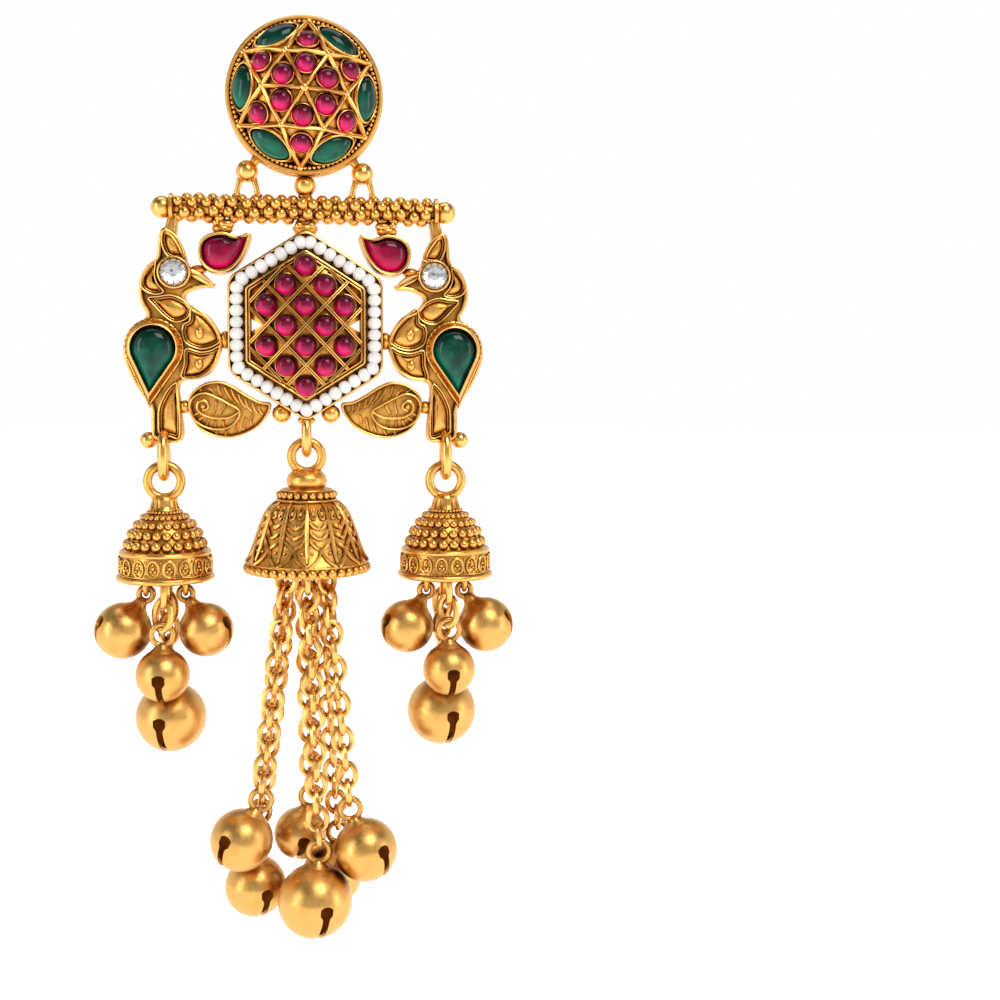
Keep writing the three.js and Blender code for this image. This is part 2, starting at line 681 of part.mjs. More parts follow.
// The peacock's outline: shares of its width outwards from its breast, and of its height upwards.
const PEACOCK_OUTLINE = [
  [CREST_TIP_SHARE, 1], // crest tip
  [0.43, 0.937], // crest front
  [0.36, 0.869], // forehead
  [0.31, 0.798], // beak root
  [0.07, 0.732], // beak tip
  [0.24, 0.72], // beak underside
  [0.37, 0.687], // throat
  [0.31, 0.633], // breast top
  [0.14, 0.591], // breast
  [0.02, 0.508], // breast front
  [0, 0.449], // belly front
  [0.09, 0.339], // belly
  [0.24, 0.294], // thigh
  [TAIL_FRONT_SHARE, 0.273], // tail root
  [TAIL_FRONT_SHARE, 0.16], // tail front
  [0.42, 0.002], // tail foot
  [0.7, 0.006], // tail heel
  [0.73, 0.083], // tail back
  [0.74, 0.163], // stone tip
  [0.89, 0.27], // stone low
  [1, 0.398], // stone side
  [0.97, 0.481], // stone high
  [0.85, 0.548], // stone shoulder
  [0.76, 0.591], // nape foot
  [0.81, 0.639], // nape low
  [0.84, 0.697], // nape
  [0.82, 0.765], // nape high
  [0.75, 0.822], // head back
  [0.66, 0.855], // head top
  [0.64, 0.922], // crest back
  [0.62, 0.98], // crest high
];

function peacock(side) {
  const outline = PEACOCK_OUTLINE.map(([out, up]) => new THREE.Vector2(
    side * (PEACOCK_INNER_X + PEACOCK_WIDTH * out),
    PEACOCK_BOTTOM_Z + PEACOCK_HEIGHT * up,
  ));
  return [
    frontPlate(outline, FRAME_BACK_Y, PEACOCK_FRONT_Y),
    ball(CORNER_BALL_RADIUS, side * CORNER_BALL_X, (FRAME_BACK_Y + PEACOCK_FRONT_Y) / 2, PEACOCK_BOTTOM_Z),
  ];
}

// Collets: walls that rise from the frame round a stone, with the stone's seat cut out of them.
// The seat's floor is at the depth that leaves the stone's base just clear.

function collet(outlineOf, baseWidth, topWidth, seatWidth, frontY) {
  const body = loft([
    ringAt(outlineOf(baseWidth), FRAME_BACK_Y),
    ringAt(outlineOf(baseWidth), (FRAME_BACK_Y + PEACOCK_FRONT_Y) / 2),
    ringAt(outlineOf(topWidth), frontY),
  ]);
  const seat = loft([
    ringAt(outlineOf(seatWidth), PEACOCK_FRONT_Y),
    ringAt(outlineOf(seatWidth), frontY - 1),
  ]);
  return { body, seat };
}

function tailOutline(side, grow, arcPoints) {
  const round = teardrop(
    TAIL_STONE_RADIUS + grow,
    TAIL_STONE_LENGTH - TAIL_STONE_RADIUS + 2 * grow,
    arcPoints,
  );
  return onSide(round, side, TAIL_STONE_X, TAIL_STONE_Z, -Math.PI / 2 + TAIL_STONE_LEAN);
}

function rubyOutline(side, radiusGrow, length) {
  const round = teardrop(RUBY_DROP_RADIUS + radiusGrow, length);
  return onSide(round, side, RUBY_DROP_X, RUBY_DROP_Z, RUBY_DROP_TURN);
}

function collets(side) {
  const eyeWall = EYE_COLLET_WALL + STONE_GAP;
  const eye = (grow) => onSide(circle(EYE_STONE_RADIUS + grow, 16), side, EYE_X, EYE_Z);
  const tail = (grow) => tailOutline(side, grow);
  const tailWall = TAIL_COLLET_WALL + STONE_GAP;
  const rubyWall = RUBY_COLLET_WALL + STONE_GAP;
  const ruby = (grow) => rubyOutline(
    side,
    grow,
    grow > STONE_GAP ? RUBY_COLLET_TIP + grow : RUBY_DROP_LENGTH - RUBY_DROP_RADIUS + 2 * STONE_GAP,
  );
  return [
    collet(eye, eyeWall, eyeWall, STONE_GAP, COLLET_FRONT_Y),
    collet(tail, tailWall + TAIL_COLLET_FLARE, tailWall, STONE_GAP, COLLET_FRONT_Y),
    collet(ruby, rubyWall + TAIL_COLLET_FLARE / 3, rubyWall, STONE_GAP, COLLET_FRONT_Y),
  ];
}

function sideStones(side, word) {
  const seatY = PEACOCK_FRONT_Y - STONE_GAP;
  const eye = mesh(`${word}_clear_stone`, cutStone(EYE_STONE_RADIUS, EYE_STONE_HEIGHT), CLEAR);
  faceFront(eye, side * EYE_X, seatY, EYE_Z);
  // Stones drawn in place: the outline's plane is laid flat, with the height along +Z.
  const emerald = mesh(`${word}_emerald_drop`, cabochon(tailOutline(side, 0), TAIL_STONE_HEIGHT), EMERALD);
  faceFront(emerald, 0, seatY, 0);
  const rubyShape = rubyOutline(side, 0, RUBY_DROP_LENGTH - RUBY_DROP_RADIUS);
  const ruby = mesh(`${word}_ruby_drop`, cabochon(rubyShape, RUBY_DROP_HEIGHT), RUBY);
  faceFront(ruby, 0, seatY, 0);
  return [eye, emerald, ruby];
}

// Hexagon

function sideHole(side) {
  const wallX = HEXAGON_HALF_WIDTH - HEXAGON_WALL - SOLDER;
  return [
    new THREE.Vector2(side * wallX, HEXAGON_Z - SIDE_HOLE_HEIGHT / 2),
    new THREE.Vector2(side * wallX, HEXAGON_Z + SIDE_HOLE_HEIGHT / 2),
    new THREE.Vector2(side * (wallX - SIDE_HOLE_WIDTH), HEXAGON_Z),
  ];
}

function hexagonFrame() {
  const plate = solid(frontPlate(hexagon(PLATE_OFFSET), HEXAGON_BACK_Y, HEXAGON_FRONT_Y));
  const wall = solid(frontPlate(hexagon(0), HEXAGON_FRONT_Y + SOLDER, HEXAGON_WALL_FRONT_Y));
  const room = solid(frontPlate(hexagon(-HEXAGON_WALL), HEXAGON_FRONT_Y, HEXAGON_WALL_FRONT_Y - 1));
  return plate.add(wall).subtract(room);
}

// The panel's domed front, at a place in the front plane.
function panelY(x, z) {
  const across = x / HEXAGON_HALF_WIDTH;
  const up = (z - HEXAGON_Z) / HEXAGON_HALF_HEIGHT;
  const share = Math.max(0, 1 - across * across - up * up);
  return HEXAGON_FRONT_Y - SEAT_GAP - PANEL_EDGE_RISE - PANEL_DOME_RISE * share;
}

// Places of the panel's rubies: rows of one, two, three, two, three, two and one.
function panelRubies() {
  const places = [];
  [1, 2, 3, 2, 3, 2, 1].forEach((count, row, rows) => {
    for (let i = 0; i < count; i += 1) {
      const x = (2 * i - (count - 1)) * PANEL_COLUMN_PITCH;
      const z = HEXAGON_Z + ((rows.length - 1) / 2 - row) * PANEL_ROW_PITCH;
      places.push([x, z]);
    }
  });
  return places;
}

function hexagonRubyPanel() {
  const backY = HEXAGON_FRONT_Y - SEAT_GAP;
  const outline = hexagon(-HEXAGON_WALL - SEAT_GAP);
  const rings = [ringAt(outline, backY), ringAt(outline, backY - PANEL_EDGE_RISE)];
  for (const share of [0.7, 0.3]) {
    rings.push(outline.map((point) => {
      const x = point.x * share;
      const z = HEXAGON_Z + (point.y - HEXAGON_Z) * share;
      return new THREE.Vector3(x, panelY(x, z), z);
    }));
  }
  const pieces = [solid(loft(rings))];
  for (const [x, z] of panelRubies()) {
    const stone = cabochon(circle(PANEL_RUBY_RADIUS, 8), PANEL_RUBY_HEIGHT + SOLDER);
    stone.rotateX(Math.PI / 2).translate(x, panelY(x, z) + SOLDER, z);
    pieces.push(solid(stone));
  }
  let panel = joined(pieces);
  for (const side of [-1, 1]) {
    panel = panel.subtract(solid(frontPlate(sideHole(side), 0, backY - 3)));
  }
  return mesh('hexagon_ruby_panel', geometryOf(panel), RUBY);
}

// A closed tube along the pearls' line, which runs round the hexagon's wall.
function pearlString() {
  const y = HEXAGON_FRONT_Y - STONE_GAP - PEARL_TUBE_RADIUS;
  const corners = hexagon(PEARL_TRACK_OFFSET).map((p) => new THREE.Vector3(p.x, y, p.y));
  const path = new THREE.CurvePath();
  corners.forEach((corner, i) => {
    const before = corners[(i + 5) % 6];
    const after = corners[(i + 1) % 6];
    const bend = 0.12;
    const start = corner.clone().lerp(before, bend);
    const end = corner.clone().lerp(after, bend);
    path.add(new THREE.QuadraticBezierCurve3(start, corner, end));
    path.add(new THREE.LineCurve3(end, after.clone().lerp(corner, bend)));
  });
  const points = path.curves.flatMap((curve, i) => curve.getPoints(i % 2 ? 1 : 2).slice(0, -1));
  const rings = points.map((point, i) => {
    const before = points[(i + points.length - 1) % points.length];
    const after = points[(i + 1) % points.length];
    const along = after.clone().sub(before).normalize();
    const across = new THREE.Vector3(0, 1, 0).cross(along).normalize();
    return circle(PEARL_TUBE_RADIUS, PEARL_TUBE_SIDES).map((p) => point.clone()
      .addScaledVector(across, p.x)
      .add(new THREE.Vector3(0, p.y, 0)));
  });
  return mesh('pearl_string', closedTube(rings), PEARL);
}

// A body through rings of points that closes on itself.
function closedTube(rings) {
  const count = rings[0].length;
  const index = [];
  for (let r = 0; r < rings.length; r += 1) {
    const next = ((r + 1) % rings.length) * count;
    for (let i = 0; i < count; i += 1) {
      const a = r * count + i;
      const b = r * count + (i + 1) % count;
      const c = next + (i + 1) % count;
      const d = next + i;
      index.push(a, b, c, a, c, d);
    }
  }
  const geometry = new THREE.BufferGeometry().setFromPoints(rings.flat());
  geometry.setIndex(index);
  return outwards(geometry);
}

// Paisleys, small balls and loops

function paisleys(side) {
  const outline = onSide(teardrop(PAISLEY_RADIUS, PAISLEY_LENGTH), side, PAISLEY_X, PAISLEY_Z, PAISLEY_TURN);
  const underBallZ = plateEdgeZ(UNDER_BALL_X) - (UNDER_BALL_RADIUS - SOLDER) / Math.cos(HEXAGON_SLANT);
  const underBall = ball(UNDER_BALL_RADIUS, side * UNDER_BALL_X, HANG_Y, underBallZ);
  return [frontPlate(outline, FRAME_BACK_Y, PEACOCK_FRONT_Y), underBall];
}

function loopBottom(ringTopZ, ringWire, loopWire) {
  return ringTopZ - ringWire - loopWire - LINK_GAP;
}

// An upright loop from the frame's lower edge down to where a bell's ring hangs on it
function hangingLoop(x, topZ, ringTopZ, ringWire, loopWire, halfDepth) {
  const bottom = loopBottom(ringTopZ, ringWire, loopWire);
  return ovalLoop(halfDepth, (topZ - bottom) / 2, loopWire, x, HANG_Y, (topZ + bottom) / 2);
}

function goldFrame() {
  const pieces = [studCup(), ...starLattice(), ...earDiscAndPost(), ...ballsAndBar(), ...straps()];
  const seats = [];
  for (const bezel of almondBezels()) {
    pieces.push(bezel.outer);
    seats.push(bezel.hole);
  }
  for (const side of [-1, 1]) {
    pieces.push(...peacock(side), ...paisleys(side));
    for (const { body, seat } of collets(side)) {
      pieces.push(body);
      seats.push(seat);
    }
    const loopTop = PEACOCK_BOTTOM_Z + LOOP_ROOT;
    pieces.push(hangingLoop(side * SIDE_BELL_X, loopTop, SIDE_RING_TOP_Z, SIDE_RING_WIRE,
      SIDE_LOOP_WIRE, SIDE_LOOP_HALF_DEPTH));
  }
  const hexagonBottom = HEXAGON_Z - HEXAGON_HALF_HEIGHT - PLATE_OFFSET;
  pieces.push(hangingLoop(0, hexagonBottom, CENTRE_RING_TOP_Z, CENTRE_RING_WIRE,
    CENTRE_LOOP_WIRE, CENTRE_LOOP_HALF_DEPTH));
  let frame = joined(pieces.map(solid)).add(hexagonFrame());
  for (const side of [-1, 1]) seats.push(frontPlate(sideHole(side), 0, HEXAGON_WALL_FRONT_Y));
  frame = frame.subtract(joined(seats.map(solid)));
  return mesh('gold_frame', geometryOf(frame), GOLD);
}

// Bells

// Radius and height shares of a side bell, from its cap's top down to its rim
const SIDE_BELL_PROFILE = [
  [0.2, 0],
  [0.29, 0.08],
  [0.28, 0.19],
  [0.43, 0.23],
  [0.44, 0.29],
  [0.6, 0.33],
  [0.63, 0.4],
  [0.78, 0.47],
  [0.82, 0.55],
  [0.88, 0.63],
  [0.92, 0.7],
  [0.93, 0.92],
  [1, 0.95],
  [1, 1],
];

// The same shares of the centre bell
const CENTRE_BELL_PROFILE = [
  [0.17, 0],
  [0.29, 0.07],
  [0.31, 0.18],
  [0.45, 0.2],
  [0.48, 0.26],
  [0.45, 0.3],
  [0.57, 0.35],
  [0.62, 0.42],
  [0.69, 0.56],
  [0.78, 0.74],
  [0.9, 0.89],
  [1, 0.94],
  [0.98, 1],
];

function bell({ name, shares, radius, height, capTopZ, ring, hubRadius, segments, hooks }) {
  const outer = shares.map(([r, down]) => new THREE.Vector2(r * radius, capTopZ - down * height));
  // The hollow starts where the bell is wide enough for its wall.
  const inner = shares
    .filter(([r, down]) => down > 0.3 && r * radius > 2 * BELL_WALL)
    .filter((share, i, list) => i % 2 === 0 || i === list.length - 1)
    .map(([r, down]) => new THREE.Vector2(r * radius - BELL_WALL, capTopZ - down * height));
  const roofZ = inner[0].y - BELL_WALL;
  const rimZ = capTopZ - height;
  const profile = [
    new THREE.Vector2(0, capTopZ),
    ...outer,
    ...inner.filter((p) => p.y < roofZ && p.y > rimZ + BELL_WALL / 2).reverse(),
    new THREE.Vector2(inner[0].x, roofZ),
    new THREE.Vector2(0, roofZ),
  ];
  const shell = solid(new THREE.LatheGeometry(profile, segments).rotateX(Math.PI / 2));
  const hubZ = rimZ - HUB_DROP;
  const ringZ = ring.topZ - ring.radius;
  const pieces = [
    new THREE.TorusGeometry(ring.radius, ring.wire, WIRE_SIDES, 10).rotateX(Math.PI / 2).translate(0, 0, ringZ),
    wire([new THREE.Vector3(0, 0, roofZ + SOLDER), new THREE.Vector3(0, 0, hubZ)], HUB_WIRE, 5),
    wire([new THREE.Vector3(-hubRadius, 0, hubZ), new THREE.Vector3(hubRadius, 0, hubZ)], HUB_WIRE, 5),
    new THREE.TorusGeometry(hubRadius, HUB_WIRE, 5, 10).translate(0, 0, hubZ),
  ];
  for (const x of hooks) {
    pieces.push(ovalLoop(HOOK_HALF_DEPTH, HOOK_HALF_HEIGHT, HOOK_WIRE, x, 0, hubZ - HOOK_DROP + HOOK_HALF_HEIGHT));
  }
  const whole = joined([shell, ...pieces.map(solid)]);
  const object = mesh(name, geometryOf(whole), GOLD);
  return { object, hubZ };
}

// Ghungroo

// Radius and height shares of a ghungroo's ball
const GHUNGROO_PROFILE = [
  [0.5, 0.87],
  [0.93, 0.38],
  [1, -0.08],
  [0.82, -0.6],
  [0.45, -0.9],
];

// A ghungroo with its loop's middle at the origin, hanging along -Z, and its slit turned about Z.
// The slit runs from one side of the ball across the bottom to the other.
function ghungroo(radius, neckLength, loopRadius, turn) {
  const drop = beadDrop(radius, neckLength, loopRadius);
  const profile = [
    new THREE.Vector2(0, -loopRadius),
    new THREE.Vector2(BEAD_NECK_RADIUS, -loopRadius),
    new THREE.Vector2(BEAD_NECK_RADIUS, -drop + radius),
    ...GHUNGROO_PROFILE.map(([r, up]) => new THREE.Vector2(radius * r, -drop + radius * up)),
    new THREE.Vector2(0, -drop - radius),
  ];
  const body = solid(new THREE.LatheGeometry(profile, BEAD_SEGMENTS).rotateX(Math.PI / 2));
  const loop = solid(new THREE.TorusGeometry(loopRadius, BEAD_LOOP_WIRE, 5, 10).rotateX(Math.PI / 2));
  const half = BEAD_SLIT_WIDTH / 2;
  const slit = block([-half, half], [-2 * radius, 2 * radius], [-drop - 2 * radius, -drop]).rotateZ(turn);
  return geometryOf(body.add(loop).subtract(solid(slit)));
}

// Distance from the loop's middle to the ball's middle
function beadDrop(radius, neckLength, loopRadius) {
  return loopRadius + neckLength + radius;
}

// Upwards along a ghungroo that leans by an angle to one side
function leaning(degrees) {
  const angle = THREE.MathUtils.degToRad(degrees);
  return new THREE.Vector3(Math.sin(angle), 0, Math.cos(angle));
}

// A ghungroo whose ball is at a place, leaning, with its slit turned from the front
function hungBead({ name, radius, neckLength, loopRadius, place, up, turn }) {
  const bead = mesh(name, ghungroo(radius, neckLength, loopRadius, THREE.MathUtils.degToRad(turn)), GOLD);
  bead.quaternion.setFromUnitVectors(new THREE.Vector3(0, 0, 1), up);
  bead.position.copy(place).addScaledVector(up, beadDrop(radius, neckLength, loopRadius));
  return bead;
}

// A chain's tube from a hub down to a ghungroo's loop, clear of both wires
function chainTube(name, anchor, bead) {
  const away = anchor.clone().sub(bead.position).normalize();
  const top = anchor.clone().addScaledVector(away, -(HUB_WIRE + SEAT_GAP));
  const bottom = bead.position.clone()
    .addScaledVector(away, BEAD_LOOP_RADIUS + BEAD_LOOP_WIRE + SEAT_GAP);
  const steps = Math.max(1, Math.round(top.distanceTo(bottom) / (10 * CHAIN_RADIUS)));
  return mesh(name, wire([top, bottom], CHAIN_RADIUS, 8, steps), GOLD);
}

// Ghungroos that hang on a side bell's hooks by their own loops: the side of the bell, the size as
// a share of a side ghungroo's radius, and the lean and the slit's turn in degrees outwards.
const HOOKED_BEADS = [
  { word: 'outer', way: 1, size: 1.02, lean: 32, turn: 62 },
  { word: 'inner', way: -1, size: 0.98, lean: 28, turn: 62 },
];

// Ghungroos on short chains under a side bell, in shares of a side ghungroo's radius: the size, and
// the place outwards, back and down from the hub. The angle is the chain's place round the hub.
const SIDE_CHAIN_BEADS = [
  { word: 'front', size: 0.96, out: 0.08, back: -0.76, down: 3.3, angle: -90, turn: 5 },
  { word: 'lower', size: 1.28, out: -0.06, back: 0.64, down: 5.16, angle: 90, turn: 15 },
];

// Ghungroos of the tassel in shares of a tassel ghungroo's radius: the size, and the place to the
// right, back and down from the hub. The angle is the chain's place round the hub.
const TASSEL_BEADS = [
  { size: 0.983, right: -2.103, back: -0.414, down: 8.414, angle: 200, lean: 26, turn: -33 },
  { size: 0.983, right: -1.724, back: 0.759, down: 10.345, angle: 150, lean: 2, turn: 25 },
  { size: 0.845, right: -0.276, back: 0.897, down: 8.69, angle: 95, lean: 16, turn: 10 },
  { size: 1.172, right: 0.19, back: -0.828, down: 10.328, angle: 270, lean: 4.5, turn: 18 },
  { size: 1, right: 1.793, back: -0.655, down: 8.793, angle: 330, lean: -20, turn: 35 },
  { size: 1, right: 0.76, back: 1.31, down: 10.25, angle: 50, lean: 8, turn: 20 },
];

function hubPoint(radius, degrees, hubZ) {
  const angle = THREE.MathUtils.degToRad(degrees);
  return new THREE.Vector3(radius * Math.cos(angle), radius * Math.sin(angle), hubZ);
}

function sideJhumka(side, word) {
  const group = new THREE.Group();
  group.position.set(side * SIDE_BELL_X, HANG_Y, 0);
  const ring = { topZ: SIDE_RING_TOP_Z, radius: SIDE_RING_RADIUS, wire: SIDE_RING_WIRE };
  const capTopZ = ring.topZ - 2 * ring.radius + SOLDER;
  const { object, hubZ } = bell({
    name: `${word}_bell`,
    shares: SIDE_BELL_PROFILE,
    radius: SIDE_BELL_RADIUS,
    height: SIDE_BELL_HEIGHT,
    capTopZ,
    ring,
    hubRadius: SIDE_HUB_RADIUS,
    segments: SIDE_BELL_SEGMENTS,
    hooks: [-SIDE_HUB_RADIUS, SIDE_HUB_RADIUS],
  });
  group.add(object);
  // From a hook's lowest wire along a ghungroo that hangs on it to the middle of its loop
  const hookReach = HOOKED_LOOP_RADIUS - HOOK_WIRE - BEAD_LOOP_WIRE - LINK_GAP;
  for (const row of HOOKED_BEADS) {
    const radius = SIDE_BEAD_RADIUS * row.size;
    const up = leaning(-side * row.way * row.lean);
    const hook = new THREE.Vector3(side * row.way * SIDE_HUB_RADIUS, 0, hubZ - HOOK_DROP);
    const drop = beadDrop(radius, LONG_NECK_LENGTH, HOOKED_LOOP_RADIUS);
    const place = hook.clone().addScaledVector(up, -hookReach - drop);
    group.add(hungBead({
      name: `${word}_${row.word}_ghungroo`,
      radius,
      neckLength: LONG_NECK_LENGTH,
      loopRadius: HOOKED_LOOP_RADIUS,
      place,
      up,
      turn: side * row.way * row.turn,
    }));
  }
  for (const row of SIDE_CHAIN_BEADS) {
    const place = new THREE.Vector3(side * row.out, row.back, -row.down).multiplyScalar(SIDE_BEAD_RADIUS);
    place.z += hubZ;
    const hub = hubPoint(SIDE_HUB_RADIUS, row.angle, hubZ);
    const anchor = new THREE.Vector3(side * hub.x, hub.y, hub.z);
    const bead = hungBead({
      name: `${word}_${row.word}_ghungroo`,
      radius: SIDE_BEAD_RADIUS * row.size,
      neckLength: BEAD_NECK_LENGTH,
      loopRadius: BEAD_LOOP_RADIUS,
      place,
      up: leaning(0),
      turn: side * row.turn,
    });
    group.add(bead, chainTube(`${word}_${row.word}_chain`, anchor, bead));
  }
  return group;
}

function centreJhumka() {
  const group = new THREE.Group();
  group.position.set(0, HANG_Y, 0);
  const ring = { topZ: CENTRE_RING_TOP_Z, radius: CENTRE_RING_RADIUS, wire: CENTRE_RING_WIRE };
  const capTopZ = ring.topZ - 2 * ring.radius + SOLDER;
  const { object, hubZ } = bell({
    name: 'centre_bell',
    shares: CENTRE_BELL_PROFILE,
    radius: CENTRE_BELL_RADIUS,
    height: CENTRE_BELL_HEIGHT,
    capTopZ,
    ring,
    hubRadius: CENTRE_HUB_RADIUS,
    segments: CENTRE_BELL_SEGMENTS,
    hooks: [],
  });
  group.add(object);
  TASSEL_BEADS.forEach((row, i) => {
    const place = new THREE.Vector3(row.right, row.back, -row.down).multiplyScalar(TASSEL_BEAD_RADIUS);
    place.z += hubZ;
    const anchor = hubPoint(CENTRE_HUB_RADIUS, row.angle, hubZ);
    const bead = hungBead({
      name: `tassel_ghungroo_${i + 1}`,
      radius: TASSEL_BEAD_RADIUS * row.size,
      neckLength: BEAD_NECK_LENGTH,
      loopRadius: BEAD_LOOP_RADIUS,
      place,
      up: leaning(row.lean),
      turn: row.turn,
    });
    group.add(bead, chainTube(`tassel_chain_${i + 1}`, anchor, bead));
  });
  return group;
}

const earring = new THREE.Group();
earring.name = 'jhumka_earring';
earring.add(goldFrame(), ...studStones(), hexagonRubyPanel(), pearlString(), screwNut());
earring.add(...sideStones(-1, 'left'), ...sideStones(1, 'right'));
earring.add(sideJhumka(-1, 'left'), sideJhumka(1, 'right'), centreJhumka());

export default earring;
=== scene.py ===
# Looks of the jhumka earring: fine goldwork, stones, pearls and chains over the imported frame.
# Lengths in the code are millimetres, and pieces are scaled to metres when they are made.
import math
import random

import bmesh
import bpy
from mathutils import Matrix, Quaternion, Vector


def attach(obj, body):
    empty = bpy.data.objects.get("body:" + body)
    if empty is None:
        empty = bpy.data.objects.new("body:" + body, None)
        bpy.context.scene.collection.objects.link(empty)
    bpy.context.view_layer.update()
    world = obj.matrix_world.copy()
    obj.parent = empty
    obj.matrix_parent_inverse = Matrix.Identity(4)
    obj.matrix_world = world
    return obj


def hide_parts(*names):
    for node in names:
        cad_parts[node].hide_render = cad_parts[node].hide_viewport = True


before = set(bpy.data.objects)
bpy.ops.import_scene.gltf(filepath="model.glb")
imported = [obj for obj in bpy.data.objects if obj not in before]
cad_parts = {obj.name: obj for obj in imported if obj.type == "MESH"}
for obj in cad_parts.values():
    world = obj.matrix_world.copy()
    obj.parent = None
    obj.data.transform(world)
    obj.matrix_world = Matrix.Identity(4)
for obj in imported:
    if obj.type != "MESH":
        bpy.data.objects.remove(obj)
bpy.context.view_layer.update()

MM = 0.001
TAU = 2 * math.pi
SIXTH = math.pi / 3
FRONT = Vector((0, -1, 0))
SIDES = ((-1, "left"), (1, "right"))


# Points on circles

def turns(count):
    return [TAU * i / count for i in range(count)]


def around(x, y, z, radius, angle):
    """A point on a level circle."""
    return Vector((x + radius * math.cos(angle), y + radius * math.sin(angle), z))


def facing(x, y, z, radius, angle):
    """A point on an upright circle that faces the front."""
    return Vector((x + radius * math.cos(angle), y, z + radius * math.sin(angle)))


# Forms: points and faces gathered in millimetres

class Form:
    def __init__(self):
        self.points = []
        self.faces = []

    def add(self, points, faces):
        start = len(self.points)
        self.points.extend(points)
        self.faces.extend(tuple(start + i for i in face) for face in faces)


def add_object(name, data):
    added = bpy.data.objects.new(name, data)
    bpy.context.scene.collection.objects.link(added)
    return added


def make(name, form, material, nodes=(), body="frame", sharp=38):
    """One piece of the scene from a form, standing for CAD nodes and a body."""
    mesh = bpy.data.meshes.new(name)
    mesh.from_pydata([p * MM for p in form.points], [], form.faces)
    work = bmesh.new()
    work.from_mesh(mesh)
    bmesh.ops.remove_doubles(work, verts=work.verts, dist=2e-7)
    bmesh.ops.recalc_face_normals(work, faces=work.faces)
    work.to_mesh(mesh)
    work.free()
    mesh.shade_smooth()
    mesh.set_sharp_from_angle(angle=math.radians(sharp))
    mesh.materials.append(material)
    piece = add_object(name, mesh)
    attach(piece, body)
    if nodes:
        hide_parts(*nodes)


def loft(form, rings, wrap=False):
    """A skin through rings of points, with closed ends or closed on itself."""
    count = len(rings[0])
    points = [p for ring in rings for p in ring]
    faces = []
    for r in range(len(rings) if wrap else len(rings) - 1):
        low = r * count
        high = ((r + 1) % len(rings)) * count
        for i in range(count):
            j = (i + 1) % count
            faces.append((low + i, low + j, high + j, high + i))
    if not wrap:
        faces.append(tuple(range(count))[::-1])
        faces.append(tuple(range(len(points) - count, len(points))))
    form.add(points, faces)


def lofted(rings):
    form = Form()
    loft(form, rings)
    return form


def sphere(form, centre, radius, segments=12, rings=8, scale=(1, 1, 1), turn=None):
    points = [Vector((0, 0, 1))]
    for r in range(1, rings):
        lean = math.pi * r / rings
        points += [around(0, 0, math.cos(lean), math.sin(lean), angle) for angle in turns(segments)]
    points.append(Vector((0, 0, -1)))
    faces = []
    for s in range(segments):
        t = (s + 1) % segments
        faces.append((0, 1 + s, 1 + t))
        for r in range(rings - 2):
            a = 1 + r * segments
            faces.append((a + s, a + s + segments, a + t + segments, a + t))
        last = 1 + (rings - 2) * segments
        faces.append((last + t, last + s, len(points) - 1))
    size = Vector(scale) * radius
    moved = [p * size for p in points]
    if turn is not None:
        moved = [turn @ p for p in moved]
    form.add([Vector(centre) + p for p in moved], faces)


def spread_frames(path, closed):
    """Directions along a path, and sides that turn as little as they can."""
    count = len(path)
    along = []
    for i in range(count):
        a = path[i - 1] if i or closed else path[0]
        b = path[(i + 1) % count] if i + 1 < count or closed else path[-1]
        along.append((b - a).normalized())
    side = along[0].orthogonal().normalized()
    sides = [side]
    for i in range(1, count):
        side = along[i - 1].rotation_difference(along[i]) @ side
        side = (side - along[i] * side.dot(along[i])).normalized()
        sides.append(side)
    if closed:
        last = along[-1].rotation_difference(along[0]) @ sides[-1]
        twist = math.atan2(last.cross(sides[0]).dot(along[0]), last.dot(sides[0]))
        sides = [Quaternion(along[i], twist * i / count) @ s for i, s in enumerate(sides)]
    return along, sides


def tube(form, path, radius, sides=8, closed=False):
    """A round wire, whose radius is one number or one for each point, with rounded ends."""
    path = [Vector(p) for p in path]
    radii = list(radius) if isinstance(radius, (list, tuple)) else [radius] * len(path)
    along, across = spread_frames(path, closed)
    if not closed:
        first, last = along[0], along[-1]
        a, b = radii[0], radii[-1]
        path = [path[0] - first * a * 0.95, path[0] - first * a * 0.7, *path,
                path[-1] + last * b * 0.7, path[-1] + last * b * 0.95]
        radii = [a * 0.3, a * 0.75, *radii, b * 0.75, b * 0.3]
        along = [first, first, *along, last, last]
        across = [across[0], across[0], *across, across[-1], across[-1]]
    rings = []
    for point, r, t, n in zip(path, radii, along, across):
        m = t.cross(n)
        rings.append([point + (n * math.cos(TAU * s / sides) + m * math.sin(TAU * s / sides)) * r
                      for s in range(sides)])
    loft(form, rings, wrap=closed)


def sweep(form, path, ups, section, closed=False):
    """A bar of any section, given as across and up, along a path with its own up directions."""
    count = len(path)
    rings = []
    for i in range(count):
        a = path[i] - path[i - 1] if i or closed else path[1] - path[0]
        b = path[(i + 1) % count] - path[i] if i + 1 < count or closed else path[-1] - path[-2]
        a = a.normalized()
        b = b.normalized()
        along = (a + b).normalized()
        side = along.cross(ups[i]).normalized()
        miter = min(2.2, 1 / max(0.3, along.dot(a)))
        rings.append([path[i] + side * across * miter + ups[i] * up for across, up in section])
    loft(form, rings, wrap=closed)


def ring_at(outline, y):
    return [Vector((x, y, z)) for x, z in outline]


def rail(form, outline, width, back, front):
    """An upright strip of wire along a closed outline in the front plane, with a rounded top."""
    height = back - front
    half = width / 2
    section = [(-half, 0), (-half, height - half * 0.9), (-half * 0.7, height - half * 0.3), (0, height),
               (half * 0.7, height - half * 0.3), (half, height - half * 0.9), (half, 0)]
    sweep(form, ring_at(outline, back), [FRONT] * len(outline), section, True)


